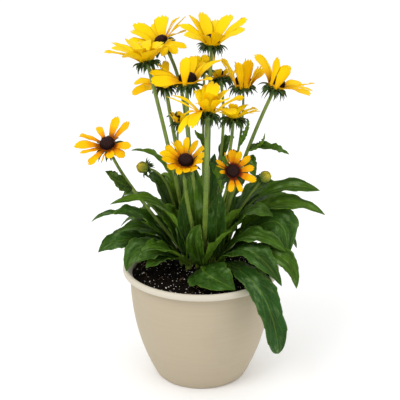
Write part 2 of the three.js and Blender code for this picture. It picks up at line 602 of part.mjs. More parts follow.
// A stem from its root in the soil up to its calyx, whose cup runs out into pointed bracts that droop
function stemSolid(flower, draw) {
  const route = stemRoute(flower);
  const foot = route.getPoint(0);
  const corners = stemSides * bractShare;
  const calyxRing = (place) => Array.from({ length: corners }, (_, index) => {
    return headPoint(flower, 2 * Math.PI * index / corners, ...place(index));
  });
  const ends = Array.from({ length: corners }, (_, index) => {
    const isTip = index % 2 === 0;
    return isTip ? [flower.bracts * (0.76 + 0.34 * draw()), -4 - 9 * draw()] : [flower.cone * 0.72, -3.2];
  });
  return skinned([
    roundRing(foot.clone().setZ(soilLevel - rootDepth), upward, flower.stem * 1.2, stemSides),
    roundRing(foot, upward, flower.stem * 1.2, stemSides),
    ...[0.14, 0.34, 0.54, 0.72, 0.88, 1].map((t) => {
      return roundRing(route.getPoint(t), route.getTangent(t), flower.stem * (1.15 - 0.2 * t), stemSides);
    }),
    calyxRing(() => [flower.stem + 1, -6.6]),
    calyxRing((index) => ends[index]),
    calyxRing(() => [flower.cone * 0.86, receptacleTop]),
  ]);
}

function soilHole(x, y, radius) {
  const depth = rootDepth + seatGap;
  const hole = new THREE.CylinderGeometry(radius, radius, depth + 20, stemSides);
  hole.rotateX(Math.PI / 2);
  hole.translate(x, y, soilLevel - depth + (depth + 20) / 2);
  return solidOf(hole);
}

// A point of the head's own frame, at an angle round its axis
function headPoint(flower, turn, radius, level) {
  const facing = vector(flower.facing).normalize();
  const [one, two] = across(facing);
  return vector(flower.head).addScaledVector(facing, level)
    .addScaledVector(one, radius * Math.cos(turn)).addScaledVector(two, radius * Math.sin(turn));
}

function coneSolid(flower) {
  const height = flower.cone * 1.15;
  const levels = [
    [coneBottom, 0.84],
    [0.3 * height, 1],
    [0.62 * height, 0.86],
    [0.86 * height, 0.56],
    [height, 0.18],
  ];
  const rings = levels.map(([level, share], row) => circleRing(coneSides, (x, y) => {
    const turn = Math.atan2(y, x);
    const side = Math.round(coneSides * turn / (2 * Math.PI) + coneSides) + row;
    const relief = row === 0 ? 0 : 0.35 * (side % 2 === 0 ? 1 : -1);
    return headPoint(flower, turn, flower.cone * share + relief, level);
  }));
  return skinned(rings);
}

// The closed petals of a bud: a ribbed knob on the calyx
function budPetals(bud) {
  const levels = [[-0.9, 0.8], [3, 1], [7, 0.82], [10, 0.3]];
  return skinned(levels.map(([level, share]) => circleRing(budSides, (x, y) => {
    const turn = Math.atan2(y, x);
    const rib = Math.round(budSides * turn / (2 * Math.PI) + budSides) % 2 === 0 ? 1 : 0.82;
    return headPoint(bud, turn, bud.cone * share * rib, level);
  })));
}

function hubRadius(flower) {
  return flower.cone + 1.5;
}

// The petals of a head on the thin hub that carries them: each petal's three-sided skin starts on a
// square of the hub's wall, which takes no more than its share of the way to the next petal
function corollaSolid(flower, spines) {
  const skin = { vertices: [], triangles: [] };
  const room = spines.map((spine, index) => {
    const next = index + 1 < spines.length ? spines[index + 1].turn : spines[0].turn + 2 * Math.PI;
    return rootShare * (next - spine.turn);
  });
  const wall = spines.flatMap((spine, index) => {
    const half = spine.width / 2 * petalShares[0] / hubRadius(flower);
    return [spine.turn - Math.min(half, room.at(index - 1)), spine.turn + Math.min(half, room[index])];
  });
  const [low, high] = [-hubHalf, hubHalf].map((level) => {
    return addRing(skin, wall.map((turn) => headPoint(flower, turn, hubRadius(flower), level)));
  });
  closeEnd(skin, low, true);
  closeEnd(skin, high, false);
  spines.forEach((spine, index) => {
    const [a, b, next] = [2 * index, 2 * index + 1, (2 * index + 2) % wall.length];
    skin.triangles.push(low[b], low[next], high[next], low[b], high[next], high[b]);
    const rings = petalRings(spine).slice(1).map((ring) => addRing(skin, ring));
    const [keel, left, right] = rings[0];
    skin.triangles.push(high[b], high[a], right, high[b], right, left);
    skin.triangles.push(low[b], high[b], left, low[b], left, keel);
    skin.triangles.push(high[a], low[a], right, low[a], keel, right);
    skin.triangles.push(low[a], low[b], keel);
    rings.slice(1).forEach((ring, step) => bridge(skin, rings[step], ring));
    closeEnd(skin, rings[rings.length - 1], false);
  });
  return solidFrom(skin.vertices, skin.triangles);
}

function within([low, high], draw) {
  return low + (high - low) * draw();
}

// Where each petal of a head stands: its turn, the rise of its end, its reach, its share of the usual
// width, its curl and its roll
function petalsOf(flower, draw) {
  const placed = placedPetals[flower.name];
  if (placed) {
    return placed.map(([turn, rise, reach, share = 1, curl = flower.curl, roll = 0]) => {
      return { turn, rise, reach, share, curl, roll };
    });
  }
  const { count, start, cup } = evenPetals[flower.name];
  return Array.from({ length: count }, (_, index) => ({
    turn: start + 360 * (index + petalStray.turn * (draw() - 0.5)) / count,
    rise: cup - flower.curl / 2 + petalStray.rise * (draw() - 0.5),
    reach: flower.reach * within(petalStray.reach, draw),
    share: 1,
    curl: flower.curl,
    roll: 0,
  }));
}

// Spine of one petal: it leaves the hub steeper than its end rises, and curls down to it
function petalSpine(flower, place, draw) {
  const turn = radians(place.turn);
  const rise = radians(place.rise);
  const curl = radians(place.curl * within(petalStray.curl, draw));
  const root = flower.cone + 0.4;
  const rim = place.reach - root;
  const point = (share, angle) => {
    return headPoint(flower, turn, root + rim * share * Math.cos(angle), rim * share * Math.sin(angle));
  };
  const ahead = headPoint(flower, turn + Math.PI / 2, 1, 0).sub(headPoint(flower, 0, 0, 0)).normalize();
  return {
    turn,
    base: point(0, 0),
    arch: point(petalArch, rise + curl),
    tip: point(1, rise),
    side: ahead,
    axis: vector(flower.facing).normalize(),
    roll: place.roll + petalStray.roll * (draw() - 0.5),
    fold: petalFold,
    keeled: true,
    width: place.share * (4 + 0.2 * flower.reach) * within(petalStray.width, draw),
  };
}

function leafSpine(leaf, base, index) {
  const tip = vector(leaf.tip);
  const heading = leaf.face === undefined
    ? Math.atan2(tip.y - base.y, tip.x - base.x)
    : radians(leaf.face);
  return {
    base,
    arch: vector(leaf.arch),
    tip,
    side: new THREE.Vector3(-Math.sin(heading), Math.cos(heading), 0),
    axis: upward,
    roll: leaf.roll,
    fold: leaf.fold,
    width: leaf.width,
    stalk: leaf.stalk,
    wave: leaf.wave,
    phase: 1.7 * index,
  };
}

// The plant is put together: soil and pot, stems and cones, then petals and leaves, each bent clear

const colours = {
  pot: { color: 0xd2c8b2, roughness: 0.55, metalness: 0 },
  soil: { color: 0x1c1815, roughness: 0.95, metalness: 0 },
  green: { color: 0x3f6a2c, roughness: 0.6, metalness: 0 },
  leaf: { color: 0x2f5a24, roughness: 0.6, metalness: 0 },
  petal: { color: 0xf7c900, roughness: 0.6, metalness: 0 },
  cone: { color: 0x2c1514, roughness: 0.85, metalness: 0 },
};
const pieces = new Map();

function grow(name, colour, solid) {
  const piece = pieces.get(name) ?? { colour, solids: [] };
  piece.solids.push(solid);
  pieces.set(name, piece);
}

const holes = [];
const potBody = potSolid();
grow('pot', 'pot', potBody);
stand('pot', potBody);
const soilBody = soilSolid();
stand('soil', soilBody);

for (const [index, flower] of [...blooms, ...buds].entries()) {
  const draw = drawFrom(17 + index);
  const stem = stemSolid({ bracts: bractReach, ...flower }, draw);
  stand(`${flower.name}_stem`, stem);
  grow(`${flower.name}_stem`, 'green', stem);
}
for (const flower of blooms) {
  const cone = coneSolid(flower);
  stand(`${flower.name}_cone`, cone);
  grow(`${flower.name}_cone`, 'cone', cone);
  const facing = vector(flower.facing).normalize();
  const hub = skinned([-hubHalf, hubHalf].map((level) => {
    const centre = vector(flower.head).addScaledVector(facing, level);
    return roundRing(centre, facing, hubRadius(flower), coneSides);
  }));
  stand(`${flower.name}_petals`, hub);
}
for (const bud of buds) {
  const petals = budPetals(bud);
  stand(`${bud.name}_petals`, petals);
  grow(`${bud.name}_petals`, 'petal', petals);
}
for (const flower of [...blooms, ...buds]) {
  const foot = stemRoute(flower).getPoint(0);
  holes.push(soilHole(foot.x, foot.y, flower.stem * 1.2 + seatGap));
}

for (const flower of blooms) {
  const draw = drawFrom(101 + 7 * blooms.indexOf(flower));
  const spines = petalsOf(flower, draw).map((place) => petalSpine(flower, place, draw));
  const placed = spines.map((spine) => bentClear(`${flower.name}_petals`, spine, petalRings, 1));
  grow(`${flower.name}_petals`, 'petal', corollaSolid(flower, placed.filter((spine) => spine)));
}

const shootFeet = new Map();
for (const shoot of shoots) {
  const count = leaves.filter((leaf) => leaf.on === shoot.name).length;
  const heading = radians(shoot.heading);
  const foot = new THREE.Vector3(
    crown[0] + shootRing * Math.cos(heading),
    crown[1] + shootRing * Math.sin(heading),
    soilLevel,
  );
  const top = leafRise + leafStep * count;
  const stub = skinned([[-rootDepth, 1], [leafRise, 1], [top, 0.7]].map(([level, share]) => {
    return roundRing(foot.clone().setZ(soilLevel + level), upward, shootRadius * share, stemSides);
  }));
  stand(shoot.name, stub);
  grow(shoot.name, 'leaf', stub);
  holes.push(soilHole(foot.x, foot.y, shootRadius + seatGap));
  shootFeet.set(shoot.name, foot.clone().setZ(soilLevel + leafRise));
}

// Where a leaf springs from its shoot: on the side that it leaves by, each leaf a little above the last
function shootRoot(leaf) {
  const foot = shootFeet.get(leaf.on);
  const place = leaves.filter((other) => other.on === leaf.on).indexOf(leaf);
  const heading = Math.atan2(leaf.arch[1] - foot.y, leaf.arch[0] - foot.x);
  const step = new THREE.Vector3(2 * Math.cos(heading), 2 * Math.sin(heading), leafStep * place);
  return step.add(foot);
}

leaves.forEach((leaf, index) => {
  const flower = blooms.find((bloom) => bloom.name === leaf.on);
  const base = flower ? stemRoute(flower).getPoint(leaf.height) : shootRoot(leaf);
  const owner = flower ? `${leaf.on}_stem` : leaf.on;
  const spine = bentClear(owner, leafSpine(leaf, base, index), leafRings, 2);
  if (spine) grow(owner, 'leaf', skinned(leafRings(spine), true));
});

grow('soil', 'soil', holes.reduce((solid, hole) => solid.subtract(hole), soilBody));

const plant = new THREE.Group();
for (const [name, { colour, solids }] of pieces) {
  const mesh = new THREE.Mesh(geometryOf(joined(solids)), new THREE.MeshStandardMaterial(colours[colour]));
  mesh.name = name;
  plant.add(mesh);
}

export default plant;
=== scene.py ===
import math

import bpy
import numpy as np
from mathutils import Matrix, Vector


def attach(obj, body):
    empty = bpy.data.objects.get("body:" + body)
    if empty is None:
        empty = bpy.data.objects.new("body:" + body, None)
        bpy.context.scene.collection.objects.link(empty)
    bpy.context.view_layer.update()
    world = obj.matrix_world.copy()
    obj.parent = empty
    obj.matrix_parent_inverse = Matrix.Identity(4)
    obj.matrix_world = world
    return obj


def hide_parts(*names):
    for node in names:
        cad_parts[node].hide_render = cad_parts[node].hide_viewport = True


# A potted rudbeckia in flower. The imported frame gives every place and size; here each of its solids gets
# the fine surface, colour and hairs of the real plant. Lengths are in millimetres until a mesh is made.

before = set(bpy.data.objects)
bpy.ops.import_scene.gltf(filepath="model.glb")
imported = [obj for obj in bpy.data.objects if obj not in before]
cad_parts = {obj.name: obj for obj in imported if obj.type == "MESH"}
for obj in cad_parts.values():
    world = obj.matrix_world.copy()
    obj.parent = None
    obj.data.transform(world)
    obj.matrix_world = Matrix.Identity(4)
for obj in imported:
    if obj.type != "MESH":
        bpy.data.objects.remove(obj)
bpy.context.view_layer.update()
print("frame loaded:", len(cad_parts), "nodes")

mm = 0.001
up = np.array([0.0, 0.0, 1.0])
fullTurn = 2 * math.pi
goldenTurn = math.pi * (3 - math.sqrt(5))

# Where the plant stands, as in the frame
ground = {
    "crown": (2, 26), "soilLevel": 136, "stemRise": 6, "shootRing": 26, "shootRadius": 4.2, "leafRise": 7,
    "leafStep": 1.2, "leafReach": 2, "plantedDepth": 14, "shootSides": 16,
}

# Flower heads: the stem's foot from the crown, the head, the way it faces, how far its petals reach and
# curl, the cone's radius, the stem's radius, the stem's bow and how far the bracts reach. Petals placed one
# by one: turn, rise, reach, then share of the width and curl; evenly placed ones: count, first turn, cup
blooms = {
    "bloom_09": ((0.5, -15.5), (7, -75, 360), (0.02, 0.5, 0.87), 44, 26, 8.5, 2.7, (2, -6), 19),
    "bloom_12": ((-7, -14), (-18, -70, 302), (0.08, -0.56, 0.83), 29, 4, 8.4, 2.2, (3, -4), 19),
    "bloom_13": ((8, -13.5), (37, -45, 283), (0.06, -0.84, 0.54), 27, 4, 7.5, 1.7, (-4, 8), 19),
    "bloom_11": ((-12.5, -9.5), (-110, -35, 313), (-0.12, -0.64, 0.76), 36, 8, 8.6, 2, (-12, 0), 19),
    "bloom_04": ((-3, -6.5), (-16, -25, 386), (0.03, 0.02, 1), 47, 22, 10.5, 2.3, (3, 0), 19),
    "bloom_01": ((-15.5, -2.5), (-64, -5, 408.5), (-0.24, 0.16, 0.96), 50, 18, 9, 2.3, (4, 0), 19),
    "bloom_08": ((13.5, -8), (89.5, 0, 377), (0.42, 0.02, 0.91), 47, 16, 9.5, 2.2, (-5, 2), 19),
    "bloom_10": ((6.5, -2), (39, 0, 340), (0.05, 0.12, 0.99), 33, 16, 8, 2, (-4, 4), 19),
    "bloom_03": ((3, 6.5), (13, 35, 422.5), (0.05, -0.02, 1), 52, 10, 9.5, 2.2, (3, 6), 19),
    "bloom_05": ((-11, 11), (-45, 45, 370.5), (-0.15, 0, 0.99), 42, 18, 9, 2.4, (2, 6), 19),
    "bloom_07": ((14.5, 6.5), (52, 40, 371), (-0.04, 0, 1), 41, 10, 10.5, 1.5, (6, 8), 19),
    "bloom_02": ((-4.5, 15), (-49, 70, 418), (-0.46, -0.38, 0.8), 46, 12, 8.6, 2.2, (0, 10), 19),
    "bloom_15": ((10, 13), (25, 104, 368), (-0.15, 0.4, 0.9), 27, 14, 8, 1.9, (0, 10), 18),
    "bloom_06": ((3, 16), (4, 72, 386), (0.02, -0.1, 1), 27, 6, 6.5, 1.6, (-3, 8), 14),
    "bloom_14": ((-5.5, 4.5), (-28, 35, 326), (0.1, 0, 1), 19, 0, 5.5, 1.4, (0, 2), 12),
}
placedPetals = {
    "bloom_09": ((24, 64, 52, 1.1), (82, 37, 48, 0.9, 16, -30), (127, -45, 52, 0.6, 16, -30),
        (148, -47, 44, 1.1), (165, 2, 34, 1.1), (187, 19, 42, 1.2), (208, 5, 46, 1.2),
        (231, -11, 40, 0.8, 16, 25), (262, 30, 46, 1, 16, 20), (314, 56, 53), (337, 68, 57, 1.1),
        (359, 68, 57, 1.1)),
    "bloom_12": ((2, 33, 31, 0.85), (24, 8, 31), (50, 4, 31), (78, 18, 32), (106, 28, 31), (131, 20, 28),
        (158, 24, 25), (187, 36, 24), (214, 38, 26), (241, 45, 29), (268, 54, 31), (306, 40, 33, 0.65),
        (338, 31, 31, 0.85)),
    "bloom_13": ((6, 10, 27, 1.1), (61, 5, 24, 0.6), (104, 46, 18, 0.6), (180, 4, 25, 0.85),
        (210, -10, 27, 0.8), (253, 3, 30, 1.15), (283, 30, 27), (316, 14, 28), (344, 18, 27, 0.85)),
    "bloom_11": ((20, -2, 34, 0.85), (57, -3, 40, 0.55), (95, 26, 41, 1.1), (118, 32, 38, 0.8),
        (142, 12, 38, 0.8), (190, 16, 23, 0.9), (222, -4, 27), (246, 20, 32), (309, 13, 38), (334, 22, 38)),
    "bloom_04": ((63, 16, 46, 0.7, 16, -20), (95, 17, 46, 1.15, 16, -35), (118, 0, 46, 1.15, 16, -40),
        (162, 94, 41, 1, -12), (240, 14, 34, 0.7), (283, 43, 51, 1.1), (309, 37, 48, 1.1),
        (331, 38, 46, 0.6), (350, 50, 43, 0.85)),
    "bloom_01": ((31, 47, 53), (70, 44, 52, 0.9, 18, -15), (112, 27, 53, 0.6, 16, -20),
        (134, 33, 51, 1.15, 18, -25), (155, 23, 49), (175, 20, 44), (195, 17, 42), (216, 18, 42),
        (245, 20, 42, 0.8), (300, 28, 44, 0.8), (332, 30, 46, 0.8), (358, 33, 49, 0.9)),
    "bloom_08": ((50, 38, 48, 1, 16, -25), (96, 38, 48, 1.1, 16, -30), (128, 79, 43, 1, -8),
        (179, 83, 39, 1, -8), (230, 12, 48), (268, 22, 46, 0.9), (305, 23, 43, 0.9), (349, 45, 44, 1.1)),
    "bloom_10": ((24, 14, 33), (58, 16, 33, 0.8), (127, 15, 34, 0.8), (151, 33, 29), (173, 43, 29, 1.1),
        (197, 41, 31, 1.1), (223, 16, 34, 0.8), (262, 18, 34, 0.8), (296, 20, 34, 0.8), (327, 32, 35),
        (353, 27, 35)),
    "bloom_03": ((18, 44, 55, 1.1), (40, 41, 54, 0.8), (62, 28, 51, 0.8, 10, -25),
        (130, 20, 46, 0.9, 10, -30), (158, 33, 38, 0.9), (198, 40, 36, 1.1), (238, 34, 50, 1.1, 10, 30),
        (263, 44, 54, 1.1, 10, 20), (329, 45, 56), (356, 41, 52, 0.9)),
    "bloom_07": ((75, 60, 46, 0.6), (113, 65, 50), (163, 71, 44, 0.95), (203, 72, 44, 1.2),
        (228, 56, 39, 1.1, 10, 20), (254, 46, 38, 1, 10, 30), (300, 45, 40, 0.6)),
    "bloom_02": ((5, 13, 42, 1.2), (34, 45, 48), (68, 52, 46, 0.8), (97, 56, 46), (130, 46, 42),
        (158, 32, 44), (182, 3, 38), (202, -12, 36, 0.65), (224, -20, 38, 0.65), (302, -28, 40, 0.8),
        (340, 14, 45, 1.2)),
    "bloom_05": ((28, 31, 43, 0.9), (69, 10, 44, 0.8, 14, -25), (109, -6, 44, 0.8, 14, -40),
        (147, 5, 42, 0.9, 14, -20), (182, 0, 36, 0.8), (219, -10, 30, 0.7), (270, 0, 36, 0.8),
        (318, -7, 36, 0.7), (354, 41, 44, 0.8)),
}
evenPetals = {"bloom_15": (9, 14, 24), "bloom_06": (8, 2, 55), "bloom_14": (7, 7, 60)}
buds = {
    "bud_1": ((-14.5, 5), (-71, 10, 272), (-0.75, -0.35, 0.3), 7, 1.5, (-6, 2), 13),
    "bud_2": ((15.5, -1), (79, 10, 259), (0.5, -0.4, 0.75), 7, 1.5, (-4, 2), 13),
}
shoots = {"shoot_front": 272, "shoot_front_right": 318, "shoot_right": 3, "shoot_back_right": 48,
     "shoot_back": 92, "shoot_back_left": 135, "shoot_left": 180, "shoot_front_left": 226}
leaves = [
    ("bloom_11", (-98, -30, 262), (-114, -36, 281), 25, 0, -50, 4, 0.5, {"height": 0.62, "tone": 0.75}),
    ("bloom_08", (88, 0, 302), (108, -4, 294), 13, 0, 20, 12, 1, {"height": 0.66}),
    ("bloom_08", (52, -12, 300), (66, -16, 268), 22, 0, 10, 8, 1, {"height": 0.55}),
    ("bloom_08", (78, -2, 300), (76, 2, 318), 9, 0, 0, 14, 0.5, {"height": 0.64}),
    ("bloom_07", (60, 28, 310), (58, 20, 332), 11, 0, 30, 10, 0.5, {"height": 0.66}),
    ("bloom_10", (30, -2, 300), (44, -6, 296), 20, 0, 10, 8, 1, {"height": 0.6}),
    ("bloom_10", (14, 0, 296), (16, -6, 272), 16, 0, 0, 8, 1, {"height": 0.52}),
    ("bloom_09", (-2, -62, 340), (-6, -56, 330), 12, 0, 30, 6, 0.5, {"height": 0.82}),
    ("bloom_02", (-30, 66, 330), (-46, 76, 322), 14, 0, 0, 8, 1, {"height": 0.55}),
    ("bloom_15", (34, 84, 300), (44, 92, 290), 14, 0, 0, 8, 1, {"height": 0.5}),
    ("bloom_04", (-9, -8, 215), (-9, -8, 281), 34, 0, 0, 8, 2, {"height": 0.08, "face": 90, "tone": 0.85}),
    ("shoot_front", (-2, -56, 158), (40, -88, 152), 50, 0, 22, 6, 1.5, {"tone": 0}),
    ("shoot_front_right", (52, -49, 219), (99, -62, 144), 40, 0, 10, 8, 2),
    ("shoot_front_right", (88, -130, 196), (100, -97, 74), 40, 0.15, 4, 8, 3, {"blunt": 1, "tone": 0}),
    ("shoot_front_left", (-44, -46, 196), (-73, -52, 187), 32, 0, -12, 10, 2, {"tone": 0.8}),
    ("shoot_front_left", (-77, -10, 199), (-95, -28, 149), 42, 0.05, -14, 10, 2),
    ("shoot_left", (-96, 6, 195), (-126, -14, 162), 32, 0.05, -35, 10, 2, {"tone": 0.15}),
    ("shoot_front_right", (50, -25, 223), (104, -38, 178), 34, 0, 14, 8, 2, {"tone": 0.5}),
    ("shoot_right", (54, -11, 241), (94, -14, 208), 36, 0, 16, 8, 2),
    ("shoot_right", (110, -3, 255), (109, -14, 162), 44, 0.1, 40, 6, 3, {"tone": 0.3}),
    ("shoot_right", (91, 16, 255), (163, 14, 200), 28, 0.2, 25, 14, 2),
    ("shoot_back_right", (62, 5, 273), (148, 8, 240), 21, 0.5, 36, 10, 2),
    ("shoot_front_left", (-28, -37, 268), (-109, -46, 244), 25, 0.05, -16, 10, 2, {"tone": 0.8}),
    ("shoot_left", (-84, 3, 240), (-139, 0, 206), 19, 0.2, 0, 10, 2),
    ("shoot_left", (-84, -13, 223), (-117, -24, 203), 26, 0.1, -24, 8, 2),
    ("shoot_back_left", (-39, 20, 298), (-98, 8, 285), 22, 0.2, 4, 14, 2),
    ("shoot_back_left", (-56, 22, 259), (-66, 24, 260), 40, 0.1, -30, 8, 2),
    ("shoot_back_left", (-50, 22, 205), (-76, 16, 224), 32, 0.1, -30, 8, 2),
    ("shoot_front_left", (-37, -8, 219), (-51, -8, 226), 34, 0.1, -50, 12, 1.5),
    ("shoot_front", (-13, -26, 198), (2, -20, 211), 22, 0, 10, 26, 1, {"face": 70, "tone": 0.6}),
    ("shoot_front_right", (20, -5, 218), (28, -6, 248), 24, 0.05, 20, 14, 2, {"face": 60}),
    ("shoot_right", (115, -40, 218), (128, -36, 144), 23, 0.1, 30, 10, 2, {"tone": 0.7}),
    ("shoot_front_right", (65, -53, 186), (97, -78, 154), 26, 0.1, 0, 8, 2),
    ("shoot_front", (32, -30, 166), (47, -46, 145), 26, 0.1, 0, 8, 1),
    ("shoot_front_left", (-41, -30, 178), (-68, -44, 160), 30, 0.1, 0, 8, 1.5, {"tone": 0.4}),
    ("shoot_back_left", (-60, 34, 262), (-90, 34, 240), 28, 0.1, 0, 10, 2),
    ("shoot_back_right", (50, 34, 230), (90, 26, 222), 40, 0.1, 10, 8, 2),
    ("shoot_back_right", (36, 42, 225), (62, 44, 262), 34, 0.1, 20, 8, 2),
    ("shoot_back_right", (90, 80, 250), (125, 75, 180), 38, 0.2, 0, 8, 2),
    ("shoot_back_right", (60, 88, 230), (76, 112, 152), 38, 0.1, 0, 8, 2),
    ("shoot_back", (16, 74, 262), (20, 122, 215), 34, 0.2, 0, 8, 2),
    ("shoot_back", (-8, 104, 220), (-12, 130, 140), 38, 0.1, 0, 8, 2),
    ("shoot_back", (-2, 48, 220), (8, 62, 275), 30, 0.1, 0, 8, 2),
    ("shoot_back_left", (-60, 90, 240), (-84, 104, 165), 38, 0.1, 0, 8, 2),
    ("shoot_back_left", (-81, 60, 213), (-108, 58, 177), 36, 0.1, 0, 8, 2),
    ("shoot_back_left", (-36, 64, 260), (-60, 88, 238), 30, 0.1, 0, 8, 2),
    ("shoot_front_left", (-42, -22, 200), (-74, -34, 186), 34, 0.1, -10, 8, 2),
    ("shoot_front_left", (-22, -12, 196), (-28, -6, 234), 26, 0.1, 0, 12, 1.5, {"face": 120}),
    ("shoot_back", (-22, 64, 206), (-34, 88, 250), 31, 0.1, 0, 8, 2),
    ("shoot_right", (96, -8, 216), (111, -20, 166), 36, 0.1, 8, 8, 2),
    ("shoot_back_right", (72, 48, 252), (112, 48, 226), 36, 0.1, 10, 8, 2),
    ("shoot_left", (-74, 10, 195), (-114, 6, 163), 36, 0.1, -10, 8, 2),
    ("shoot_back_left", (-28, 50, 225), (-44, 58, 272), 32, 0.1, 0, 8, 2),
    ("shoot_front", (24, -14, 190), (44, -24, 214), 28, 0, 20, 10, 2),
    ("shoot_right", (34, -2, 205), (57, -2, 218), 30, 0.1, 0, 8, 2),
    ("shoot_back_right", (38, 40, 184), (62, 48, 198), 34, 0.1, 0, 8, 2),
    ("shoot_right", (45, 12, 194), (78, 10, 187), 34, 0.1, 0, 8, 2),
]

# Small moves that a blade may have made in the frame to stand clear of the others
moves = {
    "turns": (0, 4, -4, 8, -8, 12, -12, 17, -17, 23, -23), "lifts": (0, 5, -5, 10, -10, 16, -16),
    "shrinks": (1, 0.88, 0.76), "liftEffort": 1.2, "shrinkEffort": 160, "match": 0.03,
}

# Where the random draws of each kind of piece begin
seeds = {
    "petal": 3000, "bract": 500, "cone": 700, "hair": 900, "bud": 1700, "leaf": 40, "fibres": 61,
    "grains": 62,
}


# Numbers and vectors

def unit(vectors):
    return vectors / np.linalg.norm(vectors, axis=-1, keepdims=True)


def spun(points, axis, degrees):
    # p cos a + (axis x p) sin a + axis (axis . p)(1 - cos a)
    angle = math.radians(degrees)
    along = (points @ axis)[..., None] * axis
    return points * math.cos(angle) + np.cross(axis, points) * math.sin(angle) + along * (1 - math.cos(angle))


def eased(low, high, x):
    # 0 below low, 1 above high, 3x^2 - 2x^3 between
    share = np.clip((x - low) / (high - low), 0, 1)
    return share * share * (3 - 2 * share)


def drawFrom(seed):
    # The frame's own repeatable numbers: each state is 16807 times the last, modulo 2^31 - 1
    state = seed

    def draw():
        nonlocal state
        state = state * 16807 % 2147483647
        return state / 2147483647
    return draw


def twoSides(axis):
    # Two directions across an axis, the first as near to +Y as it can be
    one = unit(np.array([0.0, 1.0, 0.0]) - axis * axis[..., 1:2])
    return one, np.cross(axis, one)


def turnsOf(sides):
    return np.linspace(0, fullTurn, sides, endpoint=False)


def lathed(outline, turns, x=0, y=0):
    # Rings about an upright axis at (x, y), one for each radius and level of the outline
    return np.stack([np.column_stack([x + radius * np.cos(turns), y + radius * np.sin(turns),
                                      np.full(len(turns), level)]) for radius, level in outline])


# Meshes

class Heap:
    # Surfaces that become one mesh: points, faces, the two coordinates of the pattern and some marks
    def __init__(self):
        self.points, self.faces, self.patterns, self.marks, self.count = [], [], [], [], 0

    def add(self, points, faces, pattern=(0, 0), marks=(0, 0, 0), finish=0):
        points = points.reshape(-1, 3)
        columns = [np.broadcast_to(np.asarray(mark, float).ravel(), len(points)) for mark in marks]
        self.points.append(points)
        pattern = np.asarray(pattern, float).reshape(-1, 2)
        self.patterns.append(np.broadcast_to(pattern, (len(points), 2)))
        self.marks.append(np.stack(columns, axis=1))
        self.faces += [(face + self.count, finish) for face in faces]
        self.count += len(points)


def meshFrom(name, heap, *kinds):
    corners = np.concatenate([face.ravel() for face, _ in heap.faces])
    totals = np.concatenate([np.full(len(face), face.shape[1]) for face, _ in heap.faces])
    finish = np.concatenate([np.full(len(face), number) for face, number in heap.faces])
    mesh = bpy.data.meshes.new(name)
    mesh.vertices.add(heap.count)
    mesh.vertices.foreach_set("co", (np.concatenate(heap.points) * mm).ravel())
    mesh.loops.add(len(corners))
    mesh.loops.foreach_set("vertex_index", corners)
    mesh.polygons.add(len(totals))
    mesh.polygons.foreach_set("loop_start", np.concatenate([[0], np.cumsum(totals)[:-1]]))
    mesh.polygons.foreach_set("use_smooth", totals < 5)  # the many-sided ends stay flat
    mesh.polygons.foreach_set("material_index", finish)
    mesh.update(calc_edges=True)
    pattern = mesh.uv_layers.new(name="pattern")
    pattern.data.foreach_set("uv", np.concatenate(heap.patterns)[corners].ravel())
    marks = np.concatenate(heap.marks)
    for index, mark in enumerate(("tone", "lower", "warm")):
        layer = mesh.attributes.new(name=mark, type="FLOAT", domain="POINT")
        layer.data.foreach_set("value", np.ascontiguousarray(marks[:, index]))
    for kind in kinds:
        mesh.materials.append(finishes[kind])
    return mesh


def linked(name, data):
    made = bpy.data.objects.new(name, data)
    bpy.context.scene.collection.objects.link(made)
    return made


def filled(fill, *values):
    # A heap filled by one function, with what that takes after the heap
    heap = Heap()
    fill(heap, *values)
    return heap


def place(name, heap, slot, node, *kinds):
    # A piece on the root that stands in for a node of the frame; its faces number the kinds of finish
    piece = linked(name, meshFrom(name, heap, *kinds))
    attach(piece, "root")
    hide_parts(node)
    return piece


def ringSquares(count, sides):
    # The numbers of the points, ring by ring, and the squares between the rings
    index = np.arange(count * sides).reshape(count, sides)
    following = np.roll(index, -1, axis=1)
    return index, np.stack([index[:-1], following[:-1], following[1:], index[1:]], axis=-1).reshape(-1, 4)


def skin(rings):
    # Squares between rings that run counter-clockwise as seen from the last ring, and the two ends
    index, squares = ringSquares(*rings.shape[:2])
    return [squares, index[:1, ::-1], index[-1:]]


def grid(rows, columns):
    # Coordinates 0 to 1 along the rows and round the columns
    return np.stack(np.meshgrid(np.linspace(0, 1, rows), np.linspace(0, 1, columns), indexing="ij"), axis=-1)


# Blades: leaves, petals and bracts

def bladeGrid(along, across, start=0):
    # From the start to 1 along the blade, from -1 to 1 across it
    return np.linspace(start, 1, along)[:, None], np.linspace(-1, 1, across)[None]


def archAt(spine, t):
    # (1-t)^2 base + 2t(1-t) arch + t^2 tip, and the direction there
    t = t[..., None]
    points = (1 - t) ** 2 * spine["base"] + 2 * t * (1 - t) * spine["arch"] + t * t * spine["tip"]
    inner, outer = spine["arch"] - spine["base"], spine["tip"] - spine["arch"]
    return points, unit((1 - t) * inner + t * outer)


def bladeFrame(spine, direction):
    # The side made square to the direction, and the direction crossed with it, both rolled
    flat = unit(spine["side"] - direction * (direction @ spine["side"])[..., None])
    top = np.cross(direction, flat)
    roll = math.radians(spine["roll"])
    return flat * math.cos(roll) + top * math.sin(roll), top * math.cos(roll) - flat * math.sin(roll)


def nudged(spine, turn, lift, shrink):
    # Arch and tip lifted about the side, turned about the axis and drawn in towards the base
    def moved(point):
        lifted = spun(point - spine["base"], spine["side"], -lift)
        return spine["base"] + shrink * spun(lifted, spine["axis"], turn)
    side = spun(spine["side"], spine["axis"], turn)
    return {**spine, "arch": moved(spine["arch"]), "tip": moved(spine["tip"]), "side": side}


def endEdges(spine, half):
    # The two corners of a blade's end in the frame
    point, direction = archAt(spine, np.array([1.0]))
    left, rise = bladeFrame(spine, direction)
    fold = math.radians(spine["fold"])
    out = left * half * math.cos(fold)
    return np.concatenate([point + out, point - out]) + rise * half * math.sin(fold)


